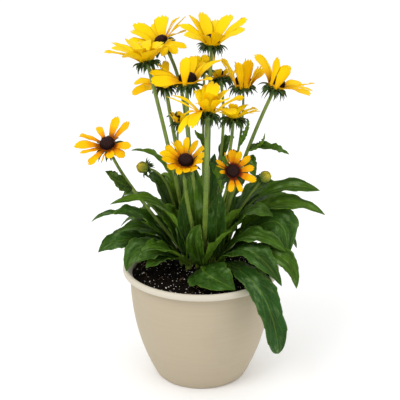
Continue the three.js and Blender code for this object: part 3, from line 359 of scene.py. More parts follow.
def effort(move):
    turn, lift, shrink = move
    return abs(turn) + moves["liftEffort"] * abs(lift) + moves["shrinkEffort"] * (1 - shrink)


allMoves = sorted([(turn, lift, shrink) for shrink in moves["shrinks"] for lift in moves["lifts"]
                   for turn in moves["turns"]], key=effort)


def cornersOf(node):
    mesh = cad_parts[node].data
    points = np.zeros(len(mesh.vertices) * 3, np.float32)
    mesh.vertices.foreach_get("co", points)
    return points.reshape(-1, 3).astype(float) / mm


def settled(spine, half, corners):
    # The spine as it stands in the frame: the smallest move that puts the blade's end on corners there
    for turn, lift, shrink in allMoves:
        moved = nudged(spine, turn, lift, shrink)
        gaps = np.linalg.norm(endEdges(moved, half)[:, None] - corners[None], axis=-1).min(axis=1)
        if gaps.max() < moves["match"]:
            return moved
    return None


def bladeRings(spine, t, half, rise, thickness, v):
    # Upper points: arch + left half v cos(fold) + up (half |v| sin(fold) + rise); lower ones are a
    # thickness below
    middle, direction = archAt(spine, t)
    left, top = bladeFrame(spine, direction)
    fold = math.radians(spine["fold"])
    level = half * np.abs(v) * math.sin(fold) + rise
    upper = middle + left * (half * v * math.cos(fold))[..., None] + top * level[..., None]
    lower = upper - top * thickness[..., None]
    edge = (upper + lower) / 2
    ring = [edge[:, :1], lower[:, 1:-1], edge[:, -1:], upper[:, -2:0:-1]]
    return np.concatenate(ring, axis=1)


def ringed(upper, lower):
    # The same order of points for a number that differs above and below
    return np.concatenate([lower, upper[:, -2:0:-1]], axis=1)


def addBlade(heap, spine, t, v, half, rise, thickness, marks):
    shape = np.broadcast_shapes(t.shape, v.shape)
    t, v, half, rise, thickness = [np.broadcast_to(item, shape) for item in (t, v, half, rise, thickness)]
    rings = bladeRings(spine, t, half, rise, thickness, v)
    pattern = np.stack([ringed(t, t), ringed(v, v) / 2 + 0.5], axis=-1)
    lower = np.ones(shape)
    lower[:, [0, -1]] = 0.5
    tone, warm = marks
    heap.add(rings, skin(rings), pattern, (tone, ringed(np.zeros(shape), lower), warm))


# Leaves

leafStyle = {
    "along": 70, "across": 21, "veins": 6, "slant": 2.6, "relief": 0.4, "teeth": 11, "toothDepth": 0.055,
    "ripple": 1.1, "ripples": 5, "bladeThickness": 0.5, "stalkThickness": 2.1, "midribDepth": 0.7,
    "edgeWaves": 3, "sag": 1.8, "folds": ((0.36, 0.6), (0.68, 0.45)), "pucker": 0.5, "hook": (-3, 1.5),
    "frameEnd": 0.5, "stalkHalf": 1.7, "rib": 1.15,
}


def leafShare(t, stalk, blunt):
    # How much of its full width a leaf has: sin(pi u^0.95)^(0.6 + 0.25 u^3), where u is the way along its
    # blade; a blunt leaf keeps most of its width to the end, (1 - 0.34 u) (1 - u^14)^0.5
    u = np.clip((t - stalk) / (1 - stalk), 0, 1)
    pointed = np.sin(math.pi * u ** 0.95).clip(0) ** (0.6 + 0.25 * u ** 3)
    broad = eased(-0.1, 0.35, u) * (1 - 0.34 * u) * np.sqrt(1 - u ** 14)
    return pointed + blunt * (broad - pointed)


def leafSpine(leaf, base, index):
    arch, tip, width, stalk, roll, fold, wave = leaf[1:8]
    tip = np.array(tip, float)
    extra = leaf[8] if len(leaf) > 8 else {}
    heading = math.atan2(tip[1] - base[1], tip[0] - base[0])
    if "face" in extra:
        heading = math.radians(extra["face"])
    return {
        "base": base, "arch": np.array(arch, float), "tip": tip, "axis": up, "roll": roll, "fold": fold,
        "side": np.array([-math.sin(heading), math.cos(heading), 0.0]), "width": width, "stalk": stalk,
        "wave": wave, "phase": 1.7 * index, "blunt": extra.get("blunt", 0), "tone": extra.get("tone"),
    }


def veinPhase(along, edge):
    # Side veins leave the midrib forwards and run ever more along the blade: n t - slant |v| (1 - 0.3 |v|)
    return along * leafStyle["veins"] - edge * (1 - edge * 0.3) * leafStyle["slant"]


def addLeaf(heap, spine, seed):
    # Half width: stalk (1 - t) + 0.12 + width / 2 share (1 + tooth). Rise: the long wave of the frame, short
    # ripples that grow towards the edge, domes between the side veins, sin^0.6 of their count, two grooves
    # exp(-((|v| - place) / 0.07)^2) along each half, puckers sin(along) sin(across), and a hooked end t^7
    style = leafStyle
    draw = np.random.default_rng(seed)
    even, v = bladeGrid(style["along"], style["across"])
    t = 0.6 * even + 0.2 * (1 - np.cos(math.pi * even))
    share = leafShare(t, spine["stalk"], spine["blunt"])
    side = np.where(v > 0, 1.0, 0.0)
    phase = draw.uniform(0, 1, 12)
    saw = (t * style["teeth"] + 0.5 * np.sin(5 * t + 6 * phase[6]) + phase[0] + 0.3 * side) % 1
    notch = np.sin(fullTurn * (1.7 * t + phase[1] + 0.4 * side))
    notch = notch + np.sin(fullTurn * (3.1 * t + phase[7] + side))
    tooth = style["toothDepth"] * (1.5 * saw ** 1.6 - 0.6 + 0.6 * notch) * eased(0.1, 0.35, t)
    half = style["stalkHalf"] * (1 - t) + 0.12 + spine["width"] / 2 * share * (1 + tooth)
    long = np.sin(fullTurn * style["edgeWaves"] * t + spine["phase"] + 2 * (1 - side)) * spine["wave"]
    ripples = fullTurn * (style["ripples"] * t + phase[2] + 0.45 * side) + 1.5 * np.sin(9 * t)
    short = style["ripple"] * np.sin(ripples)
    edge = np.abs(v)
    domes = style["relief"] * np.sin(math.pi * (veinPhase(t, edge) % 1)) ** 0.6 * (1 - edge ** 4)
    midrib = style["midribDepth"] * np.exp(-(v / 0.085) ** 2)
    grooves = sum(depth * np.exp(-((edge - spot) / 0.07) ** 2) for spot, depth in style["folds"])
    across = np.sin(fullTurn * (2.2 * v + phase[8] + 1.5 * t))
    puckers = style["pucker"] * np.sin(fullTurn * (7 * t + phase[9] + 1.2 * side)) * across * (1 - edge ** 3)
    swell = long * edge ** 1.4 + short * edge ** 2.4 + domes * eased(0, 0.12, edge)
    rise = share * (swell - midrib - grooves + puckers)
    rise = rise - style["sag"] * share * edge ** 2 * np.sin(math.pi * (t * 1.5 + phase[3])) + 0.35
    rise = rise + draw.uniform(*style["hook"]) * t ** 7
    rib = style["rib"] * np.exp(-(v / 0.11) ** 2) * (1 - 0.75 * t)
    stem = style["stalkThickness"] * (1 - t) * (1 - share) ** 2
    body = (style["bladeThickness"] + stem) * np.sqrt(1 - edge ** 2)
    thickness = 0.14 + body + rib * np.minimum(1, share * 2)
    tone = draw.uniform(0, 1) if spine["tone"] is None else spine["tone"]
    addBlade(heap, spine, t, v, half, rise, thickness, (tone, phase[4]))


def shootFoot(name, level):
    # The middle of a shoot, on its ring about the crown
    heading, crown = math.radians(shoots[name]), ground["crown"]
    return np.array([crown[0] + ground["shootRing"] * math.cos(heading),
                     crown[1] + ground["shootRing"] * math.sin(heading), ground["soilLevel"] + level])


# Stems, calyx and hairs

stemStyle = {
    "sides": 14, "rows": 44, "ribs": 7, "ribDepth": 0.045, "neck": 9, "bowAt": 0.36, "bowRise": 0.04,
    "taper": (1.15, 0.2), "rootShare": 1.2, "hairs": 340, "hairLength": (0.9, 1.9), "hairRadius": 0.055,
    "hairRoot": 0.94, "hairSpread": (0.04, 0.99),
    "hairSides": ((0, 1, 3), (1, 2, 3), (2, 0, 3), (0, 2, 1)),
    "bracts": 31, "fewBracts": 18, "bractWidth": 4.5, "bractThickness": 0.55,
    # how near and far the bracts of each row reach, as a share, and how low and high their ends are
    "bractRows": ((0.84, 1.2, -11, -3), (0.66, 1, -17, -8), (0.4, 0.72, -22, -12)),
    "bractOrder": (0, 1, 0, 2, 1),
}


class Flower:
    # One head with the frame of its axis and the curve of its stem
    def __init__(self, name, row, isBud=False):
        names = ("foot", "head", "facing", "cone", "stem", "bow", "bracts") if isBud else (
            "foot", "head", "facing", "reach", "curl", "cone", "stem", "bow", "bracts")
        self.name = name
        self.__dict__.update(zip(names, row))
        self.head = np.array(self.head, float)
        self.facing = unit(np.array(self.facing, float))
        self.one, self.two = twoSides(self.facing)
        style, crown = stemStyle, ground["crown"]
        level = ground["soilLevel"] + ground["stemRise"]
        foot = np.array([crown[0] + self.foot[0], crown[1] + self.foot[1], level])
        end = self.head - style["neck"] * self.facing
        length = np.linalg.norm(end - foot)
        lower = foot + style["bowAt"] * (end - foot) + np.array([*self.bow, style["bowRise"] * length])
        bend = min(0.3 * length, 26 + 0.2 * length * self.facing[2])
        self.controls = np.array([foot, lower, end - self.facing * bend, end])

    def at(self, turn, radius, level):
        # head + facing level + one radius cos(turn) + two radius sin(turn)
        turn, radius, level = [np.asarray(item, float)[..., None] for item in (turn, radius, level)]
        middle = self.head + self.facing * level
        return middle + self.one * radius * np.cos(turn) + self.two * radius * np.sin(turn)

    def rings(self, turns, outline, scale=1):
        # One ring for each radius and level of the outline
        return np.stack([self.at(turns, scale * radius, level) for radius, level in outline])

    def across(self, turn):
        # The direction round the head at a turn
        return self.at(turn + math.pi / 2, 1, 0) - self.head

    def route(self, t):
        # Cubic curve of the stem above the soil, and its direction
        t = np.asarray(t, float)[..., None]
        a, b, c, d = self.controls
        point = (1 - t) ** 3 * a + 3 * t * (1 - t) ** 2 * b + 3 * t * t * (1 - t) * c + t ** 3 * d
        return point, unit((1 - t) ** 2 * (b - a) + 2 * t * (1 - t) * (c - b) + t * t * (d - c))

    def radius(self, t):
        # The stem is thicker at its foot
        wide, taper = stemStyle["taper"]
        return (wide - taper * t) * self.stem


def roundRings(centres, directions, radii, turns):
    # centre + radius (one cos(turn) + two sin(turn))
    one, two = twoSides(directions)
    wave = one[:, None] * np.cos(turns)[None, :, None] + two[:, None] * np.sin(turns)[None, :, None]
    return centres[:, None] + wave * radii[..., None]


def addStem(heap, flower, seed):
    style = stemStyle
    turns = turnsOf(style["sides"])
    t = np.linspace(0, 1, style["rows"])
    points, directions = flower.route(t)
    foot = points[:1] - up * (ground["stemRise"] + ground["plantedDepth"])
    centres = np.concatenate([foot, points])
    directions = np.concatenate([up[None], directions])
    radius = np.concatenate([[style["rootShare"] * flower.stem], flower.radius(t)])
    radii = radius[:, None] * (1 + style["ribDepth"] * np.cos(style["ribs"] * turns))[None]
    rings = roundRings(centres, directions, radii, turns)
    # Calyx: the stem widens into a cup below the petals, radius against level
    cup = [(flower.stem * 0.97, -8.2), (flower.stem + 0.6, -7), (flower.cone * 0.42, -5.6),
           (flower.cone * 0.66, -4), (flower.cone * 0.86, -2.6), (flower.cone * 0.92, -1.3)]
    rings = np.concatenate([rings, flower.rings(turns, cup)])
    heap.add(rings, skin(rings), grid(len(rings), style["sides"]), (seed % 7 / 7, 0, 0))
    addHairs(heap, flower, seed)


def addHairs(heap, flower, seed):
    # Thin three-sided spikes: roots on the stem, a tip out along the radius and a little upwards
    style = stemStyle
    draw = np.random.default_rng(seeds["hair"] + seed)
    count = style["hairs"]
    t = draw.uniform(*style["hairSpread"], count)
    turn = draw.uniform(0, fullTurn, count)
    points, directions = flower.route(t)
    one, two = twoSides(directions)
    out = one * np.cos(turn)[:, None] + two * np.sin(turn)[:, None]
    side = np.cross(directions, out)
    root = points + out * (flower.radius(t) * style["hairRoot"])[:, None]
    length = draw.uniform(*style["hairLength"], count)[:, None]
    tip = root + unit(out + directions * draw.uniform(-0.2, 0.7, (count, 1))) * length
    r = style["hairRadius"]
    corners = [root + side * r, root + directions * r, root - side * r]
    base = np.arange(count)[:, None] * 4
    sides = np.concatenate([base + np.array(face) for face in style["hairSides"]])
    points = np.stack([*corners, tip], axis=1)
    heap.add(points, [sides], marks=(1, 0, 0), finish=1)


def addBracts(heap, flower, seed):
    # Narrow green leaves in three rows under the head: out from the cup, then drooping round the stem, the
    # ends curled in or up
    style = stemStyle
    draw = np.random.default_rng(seeds["bract"] + seed)
    count = style["bracts"] if flower.bracts > 15 else style["fewBracts"]
    t, v = bladeGrid(11, 5)
    for index in range(count):
        turn = fullTurn * (index + 0.6 * draw.uniform(-0.5, 0.5)) / count
        row = style["bractOrder"][index % len(style["bractOrder"])]
        near, far, low, high = style["bractRows"][row]
        reach, drop = flower.bracts * draw.uniform(near, far), draw.uniform(low, high) * flower.bracts / 19
        base = flower.at(turn, flower.cone * 0.55, -4.2 - 0.8 * row)
        spine = {
            "base": base, "arch": flower.at(turn, reach * 0.74, -1.4 - 2.2 * row), "axis": flower.facing,
            "tip": flower.at(turn + 0.2 * draw.uniform(-1, 1), reach, drop), "roll": draw.uniform(-40, 40),
            "side": flower.across(turn), "fold": 14,
        }
        width = style["bractWidth"] * draw.uniform(0.7, 1.15) * min(1, flower.cone / 8)
        half = width / 2 * (0.7 + 0.5 * np.sin(math.pi * t)) * (1 - t ** 2.6) + 0.1
        thickness = 0.1 + style["bractThickness"] * np.sqrt(1 - v * v) * (1 - 0.5 * t)
        curl = draw.uniform(-2.5, 1.2) * t ** 3
        addBlade(heap, spine, t, v, half, curl + 0.25 * half * v * v, thickness, (draw.uniform(0, 0.6), 0))


# Petals

petalStyle = {
    "along": 24, "across": 13, "widen": 1.1, "roots": 0.4, "frameEnd": 0.42, "end": 0.76, "round": 0.16,
    "notch": 0.075, "notches": 0.36, "groove": 0.3, "thickness": 0.32, "edgeWave": 0.7, "twist": 26,
    "quillWidth": 2.4, "quillFold": 50, "sunk": 0.12, "hubSides": 20,
    "hub": ((0.7, -1.5), (0.98, -1.1), (1.08, -0.3), (1.0, 0.5), (0.8, 1.1)),
}
# Thin petals that stand between the others: turn, rise and reach
quills = {
    "bloom_02": ((322, 4, 47), (313, 8, 47), (301, 4, 48), (311, -9, 44)),
    "bloom_04": ((345, 20, 48), (66, 30, 46)),
    "bloom_07": ((350, 54, 45), (18, 58, 42)), "bloom_08": ((229, 33, 54), (221, 20, 52)),
    "bloom_10": ((318, 17, 38), (226, 19, 40)), "bloom_09": ((98, 22, 50), (140, -20, 44)),
    "bloom_12": ((322, 6, 34), (40, 24, 31)), "bloom_03": ((66, 52, 48),), "bloom_01": ((200, 26, 42),),
    "bloom_11": ((64, 10, 38), (165, 10, 30)), "bloom_13": ((30, 14, 25), (80, 26, 22)),
}


def petalPlaces(flower, draw):
    # Turn, rise, reach, share of the width, curl and roll of each petal, as in the frame
    if flower.name in placedPetals:
        return [(*row, *(1, flower.curl, 0)[len(row) - 3:]) for row in placedPetals[flower.name]]
    count, start, cup = evenPetals[flower.name]
    found = []
    for petal in range(count):
        turn = start + 360 * (petal + 0.34 * (draw() - 0.5)) / count
        rise = cup - flower.curl / 2 + 14 * (draw() - 0.5)
        found.append((turn, rise, flower.reach * (0.86 + 0.2 * draw()), 1, flower.curl, 0))
    return found


def petalSpine(flower, row, draw):
    # Base on the hub, arch at 0.55 of the way on the slope rise + curl, tip on the slope of the rise
    turn, rise = math.radians(row[0]), math.radians(row[1])
    curl = math.radians(row[4] * (0.7 + 0.6 * draw()))
    root = flower.cone + 0.4
    rim = row[2] - root
    bend = rim * 0.55
    return {
        "base": flower.at(turn, root, 0), "axis": flower.facing, "fold": 6,
        "arch": flower.at(turn, root + bend * math.cos(rise + curl), bend * math.sin(rise + curl)),
        "tip": flower.at(turn, root + rim * math.cos(rise), rim * math.sin(rise)),
        "side": flower.across(turn), "roll": row[5] + 24 * (draw() - 0.5),
        "width": row[3] * (4 + 0.2 * flower.reach) * (0.9 + 0.25 * draw()),
    }


def addPetal(heap, spine, seed, warm, slim=1.0, isQuill=False):
    # t = u (1 - u^5 (round |v|^3 + notches + slope)); half width from the root's share up to full, then in
    # a little; rise: two grooves, a channel near the root, waves along the edge, a twist and a curled end
    style = petalStyle
    draw = np.random.default_rng(seeds["petal"] + seed)
    u, v = bladeGrid(style["along"], style["across"], -style["sunk"])
    edge = np.abs(v)
    onward = np.clip(u, 0, 1)
    notches = style["notch"] * draw.uniform(0.3, 1.7, 2)
    cut = np.where(v > 0, notches[0], notches[1]) * np.exp(-((edge - style["notches"]) / 0.12) ** 2)
    slope = draw.uniform(-0.035, 0.035) * v
    t = u * (1 - onward ** 5 * (style["round"] * edge ** 3 + cut + slope))
    share = style["roots"] + (1 - style["roots"]) * eased(-0.1, 0.6, u)
    share = share * (1 - (1 - style["end"]) * eased(0.78, 1.04, u))
    half = style["widen"] * slim * spine["width"] / 2 * share
    grooves = style["groove"] * np.exp(-((edge - style["notches"]) / 0.1) ** 2) * eased(0, 0.3, u)
    phase = draw.uniform(0, 1, 6)
    wave = style["edgeWave"] * edge ** 2.2 * np.sin(fullTurn * (1.3 * u + phase[0] + 0.4 * (v > 0)))
    channel = 0.3 * half * edge ** 2 * (1 - onward) ** 2 + (0.9 * phase[4] - 0.3) * edge ** 2 * onward
    twist = half * v * math.sin(math.radians(style["twist"] * (2 * phase[5] - 1))) * onward ** 2
    curl = (4.4 * phase[1] - 2.4) * onward ** 4
    rise = channel + wave * eased(0.1, 0.5, u) - grooves + curl + twist
    body = style["thickness"] * np.sqrt(1 - edge ** 2) * (1.3 - 0.5 * u)
    thickness = 0.08 + body * (1 - 0.7 * eased(0.8, 1, u))
    if isQuill:
        spine = {**spine, "fold": style["quillFold"]}
    addBlade(heap, spine, t, v, half, rise, thickness, (phase[3], warm))


def addHub(heap, flower, warm):
    # The disc that carries the petals, under the cone
    rings = flower.rings(turnsOf(petalStyle["hubSides"]), petalStyle["hub"], flower.cone)
    heap.add(rings, skin(rings), (0, 0.5), (0.5, 0, warm))


# Cones

coneStyle = {
    "dome": (-38, -20, 0, 20, 40, 58, 74, 86), "domeSides": 28, "florets": 230, "sides": 5,
    "length": (0.9, 1.5), "radius": 0.5, "height": 1.15, "rings": ((0, 1), (0.55, 0.9), (0.85, 0.45)),
}


def addCone(heap, flower, seed):
    # A dome, radius 0.95 cone cos(a) at level h (0.3 + 0.66 sin(a)), and florets that leave it along its
    # normal
    style = coneStyle
    draw = np.random.default_rng(seeds["cone"] + seed)
    height = flower.cone * style["height"]
    angle = np.radians(style["dome"])
    dome = [(0.95 * flower.cone * math.cos(a), height * (0.3 + 0.66 * math.sin(a))) for a in angle]
    rings = flower.rings(turnsOf(style["domeSides"]), dome)
    # The dome's height goes into the warm mark, for the painted highlight on the cone's top
    share = np.repeat(np.sin(angle).clip(0), style["domeSides"])
    heap.add(rings, skin(rings), marks=(0.3, 0, share))
    count = style["florets"]
    order = np.arange(count)
    sine = 0.995 - 1.22 * (order + 0.5) / count
    cosine = np.sqrt(1 - sine * sine)
    turn = order * goldenTurn
    root = flower.at(turn, 0.93 * flower.cone * cosine, height * (0.3 + 0.65 * sine))
    stray = draw.uniform(-0.09, 0.09, (count, 3))
    out = unit(flower.at(turn, cosine, 0.9 * sine + 0.15) - flower.head + stray)
    length = draw.uniform(*style["length"], count) * (0.8 + 0.35 * cosine)
    size = style["radius"] * (0.72 + 0.4 * cosine) * min(1.1, flower.cone / 8)
    rings = [roundRings(root + out * (level * length)[:, None], out, (share * size)[:, None],
                        turnsOf(style["sides"])) for level, share in style["rings"]]
    tip = root + out * length[:, None]
    points = np.concatenate([*rings, tip[:, None]], axis=1)
    sides, each = style["sides"], points.shape[1]
    start = order[:, None] * each
    index, squares = ringSquares(len(rings), sides)
    tips = np.stack([index[-1], np.roll(index[-1], -1), np.full(sides, each - 1)], axis=1)
    faces = [np.concatenate([start + face for face in kind]) for kind in (squares, tips)]
    levels = np.concatenate([np.repeat([level for level, _ in style["rings"]], sides), [1.0]])
    # Marks: a random tone, the place along each floret, and its height on the cone for the painted highlight
    # on the top
    marks = [np.broadcast_to(mark, (count, each)) for mark in (
        draw.uniform(0, 1, count)[:, None], levels, sine.clip(0)[:, None])]
    heap.add(points, [*faces, start + index[0, ::-1]], marks=marks, finish=1)


# Buds

budStyle = {
    "core": ((0.7, -1.2), (0.9, 1), (0.9, 3.4), (0.7, 6), (0.4, 8), (0.15, 9)), "sides": 16, "petals": 13,
    "halfWidth": 2.3, "fold": -20,
    # the arch's and the tip's radius as a share of the core's, and the tip's level: outer row, inner row
    "swell": (1.22, 1.1), "close": (0.24, 0.1), "top": (9.4, 10.3),
}


def addBud(heap, bud, seed):
    # A dark green core and two rows of closed petals that meet above it
    style = budStyle
    draw = np.random.default_rng(seeds["bud"] + seed)
    rings = bud.rings(turnsOf(style["sides"]), style["core"], bud.cone)
    heap.add(rings, skin(rings), (0.2, 0.5), (0.5, 0, 0))
    t, v = bladeGrid(14, 9)
    for index in range(style["petals"]):
        row = index % 2
        turn = fullTurn * index / style["petals"] + draw.uniform(-0.1, 0.1)
        roll, aside = 10 * draw.uniform(-1, 1), 0.3 * draw.uniform(-1, 1)
        spine = {
            "base": bud.at(turn, bud.cone * 0.72, -1.6), "axis": bud.facing, "side": bud.across(turn),
            "arch": bud.at(turn, bud.cone * style["swell"][row], 5.2), "fold": style["fold"], "roll": roll,
            "tip": bud.at(turn + aside, bud.cone * style["close"][row], style["top"][row]),
        }
        swell = 0.35 + 0.65 * np.sin(math.pi * np.clip(t * 0.8 + 0.12, 0, 1))
        half = style["halfWidth"] * swell * (1 - 0.8 * t ** 4)
        thickness = 0.1 + 0.4 * np.sqrt(1 - v * v)
        addBlade(heap, spine, t, v, half, -0.1 * half * v * v, thickness, (draw.uniform(0, 1), 0))


# Soil with its grains

wall = {
    "height": 148, "foot": 58.9, "shoulder": 91, "curve": 2.45, "thickness": 2.6, "floor": 4.6,
    "lipHeight": 9, "levels": (4.6, 24, 56, 100), "sides": 160, "seat": 0.3, "holes": (5, 33, 5),
    "drill": (-6, 10), "drillSides": 28, "rows": (40, 18), "floorRings": (40, 6),
    "edge": ((57.2, 0), (58.4, 0.4)),
    "groove": ((16, 0), (17.2, 0), (18, 2), (50, 2), (50.8, 0), (52, 0)),
    "lip": ((98.4, 139.6), (100, 142), (99.4, 146.6), (97, 148), (94, 147.2)),
}
soilStyle = {
    "rows": 70, "sides": 210, "relief": 1.5, "noise": ((5, 1), (2.2, 0.6), (1.1, 0.35)), "drop": 4,
    "fibres": 60, "fibreLength": (5, 14), "fibreRadius": 0.22, "fibreSides": 5, "fibreReach": 84,
}


def wallRadius(z):
    # foot + (shoulder - foot)(1 - (1 - z / height)^curve)
    below = 1 - np.asarray(z, float) / wall["height"]
    return wall["foot"] + (wall["shoulder"] - wall["foot"]) * (1 - below ** wall["curve"])


soilEdge = wallRadius(ground["soilLevel"] - soilStyle["drop"])


def valueNoise(x, y, seed):
    # Random heights on whole numbers, eased between them
    table = np.random.default_rng(seed).uniform(-1, 1, (256, 256))
    column, row = np.floor(x).astype(int), np.floor(y).astype(int)
    a, b = eased(0, 1, x - column), eased(0, 1, y - row)
    near, far = [[table[(column + i) % 256, (row + j) % 256] for i in (0, 1)] for j in (0, 1)]
    return (near[0] * (1 - a) + near[1] * a) * (1 - b) + (far[0] * (1 - a) + far[1] * a) * b


def soilHeight(x, y):
    # As in the frame: clods, hollows and the mound at the crown, with finer noise on top
    clods = np.sin(0.21 * x + 1.3) * np.cos(0.17 * y) + 0.7 * np.sin(0.37 * x - 0.29 * y + 0.8)
    crown = ground["crown"]
    mound = 3 * np.exp(-((x - crown[0]) / 36) ** 2 - ((y - crown[1]) / 36) ** 2)
    fine = sum(share * valueNoise(x / size, y / size, seed)
               for seed, (size, share) in enumerate(soilStyle["noise"], 1))
    return ground["soilLevel"] + 1.3 * clods + mound + soilStyle["relief"] * (fine - 0.3)


def addSoil(heap):
    style = soilStyle
    turns = turnsOf(style["sides"])
    inner = wall["thickness"] + wall["seat"]
    sides = lathed([(wallRadius(z) - inner, z + wall["seat"]) for z in wall["levels"]], turns)
    top = lathed([((soilEdge - inner) * share, 0) for share in np.linspace(1, 0.01, style["rows"])], turns)
    top[..., 2] = soilHeight(top[..., 0], top[..., 1])
    rings = np.concatenate([sides, top])
    heap.add(rings, skin(rings))


def addLumps(heap, centres, sizes, kind, tone):
    # Small stones: a ball of 4 rows by 7 sides, each turned, squashed and dented on its own
    draw = np.random.default_rng(kind["seed"] + 10)
    rows, sides = 4, 7
    lift = np.linspace(-1, 1, rows + 2)[1:-1] * 0.85
    ball = lathed(zip(np.sqrt(1 - lift ** 2), lift), turnsOf(sides)).reshape(-1, 3)
    count, each = len(centres), len(ball)
    pose = np.linalg.qr(draw.normal(size=(count, 3, 3)))[0]
    pose = pose * np.sign(np.linalg.det(pose))[:, None, None]
    scale = draw.uniform(0.6, 1.25, (count, 1, 3))
    dents = 1 + kind["rough"] * draw.uniform(-1, 1, (count, each, 1))
    points = np.einsum("nij,npj->npi", pose, ball[None] * scale * dents)
    points = points * (sizes[:, None, None] * np.array([1, 1, kind["flat"]])) + centres[:, None]
    index, squares = ringSquares(rows, sides)
    start = np.arange(count)[:, None] * each
    faces = [(start[..., None] + squares).reshape(-1, 4), start + index[0, ::-1], start + index[-1]]
    heap.add(points, faces, marks=(np.broadcast_to(tone[:, None], (count, each)), 0, 0))


def strewn(count, seed, reach=0.985):
    # Places spread evenly over the soil
    draw = np.random.default_rng(seed)
    distance = (soilEdge * reach - 4) * np.sqrt(draw.uniform(0, 1, count))
    turn = draw.uniform(0, fullTurn, count)
    x, y = distance * np.cos(turn), distance * np.sin(turn)
    return np.column_stack([x, y, soilHeight(x, y)])


def addFibres(heap, seed):
    # Thin bent roots and bark fibres lying on the soil
    style = soilStyle
    draw = np.random.default_rng(seed)
    t = np.linspace(0, 1, 9)
    for start in strewn(style["fibres"], seed, 0.9):
        heading = draw.uniform(0, fullTurn)
        length = draw.uniform(*style["fibreLength"])
        bend = draw.uniform(-1.2, 1.2)
        angle = heading + bend * t
        x = start[0] + length * t * np.cos(angle)
        y = start[1] + length * t * np.sin(angle)
        inside = np.hypot(x, y) < style["fibreReach"]
        centres = np.column_stack([x, y, soilHeight(x, y) + 0.5 + 1.2 * np.sin(math.pi * t)])[inside]
        if len(centres) > 3:
            directions = unit(np.gradient(centres, axis=0))
            radii = np.full((len(centres), 1), style["fibreRadius"])
            rings = roundRings(centres, directions, radii, turnsOf(style["fibreSides"]))
            heap.add(rings, skin(rings), marks=(draw.uniform(0, 1), 0, 0), finish=1)


# Pot

def rounded(points, times=2):
    # Corners cut at a quarter and three quarters of each side; the two ends stay
    for _ in range(times):
        first, second = points[:-1], points[1:]
        inner = np.stack([0.75 * first + 0.25 * second, 0.25 * first + 0.75 * second], axis=1)
        points = np.concatenate([points[:1], inner.reshape(-1, 2), points[-1:]])
    return points


def addPot(heap):
    # The outline turned about the upright axis
    turns = turnsOf(wall["sides"])
    top = wall["height"] - wall["lipHeight"]
    outerRows, innerRows = wall["rows"]
    rise = np.linspace(1.5, top, outerRows)
    outer = np.column_stack([wallRadius(rise), rise])
    groove = rounded(np.array(wall["groove"], float), 1)
    lipStart = float(wallRadius(top))
    lip = rounded(np.array([(lipStart, top), *wall["lip"], (lipStart - wall["thickness"], top)]))
    down = np.linspace(top - 2, wall["floor"], innerRows)
    inside = np.column_stack([wallRadius(down) - wall["thickness"], down])
    floor = [(radius, wall["floor"]) for radius in wall["floorRings"]]
    outline = np.concatenate([groove, wall["edge"], outer[:-1], lip, inside, floor])
    rings = lathed(outline, turns)
    heap.add(rings, skin(rings), np.stack(np.broadcast_arrays(
        turns[None] / fullTurn, outline[:, 1:] / wall["height"]), axis=-1))


def pierced(piece):
    # Drain holes cut through the floor of the pot
    count, ring, radius = wall["holes"]
    drills = Heap()
    for turn in turnsOf(count):
        outline = [(radius, level) for level in wall["drill"]]
        rings = lathed(outline, turnsOf(wall["drillSides"]), ring * math.cos(turn), ring * math.sin(turn))
        drills.add(rings, skin(rings))
    drill = linked("drill", meshFrom("drill", drills))
    cut = piece.modifiers.new("drain", "BOOLEAN")
    cut.operation, cut.solver, cut.object = "DIFFERENCE", "EXACT", drill
    evaluated = piece.evaluated_get(bpy.context.evaluated_depsgraph_get())
    piece.data = bpy.data.meshes.new_from_object(evaluated)
    piece.modifiers.clear()
    bpy.data.objects.remove(drill)


# Finishes

def paint(red, green, blue):
    # A colour given as 0 to 255 on a screen, made linear
    shares = np.array([red, green, blue]) / 255
    return (*np.where(shares <= 0.04045, shares / 12.92, ((shares + 0.055) / 1.055) ** 2.4), 1.0)


class Wire:
    # An output of a node that can be calculated with
    def __init__(self, finish, socket):
        self.finish, self.socket = finish, socket

    def math(self, operation, one, other=0.0):
        return self.finish.node("Math", {"operation": operation}, {0: one, 1: other})

    def __add__(self, other):
        return self.math("ADD", self, other)

    def __radd__(self, other):
        return self.math("ADD", other, self)

    def __sub__(self, other):
        return self.math("SUBTRACT", self, other)

    def __rsub__(self, other):
        return self.math("SUBTRACT", other, self)

    def __mul__(self, other):
        return self.math("MULTIPLY", self, other)

    def __rmul__(self, other):
        return self.math("MULTIPLY", other, self)

    def __abs__(self):
        return self.math("ABSOLUTE", self)

    def fract(self):
        return self.math("FRACT", self)

    def sine(self):
        return self.math("SINE", self)

    def between(self, low, high):
        return self.finish.node("MapRange", {"interpolation_type": "SMOOTHSTEP"},
                                {"Value": self, "From Min": low, "From Max": high})


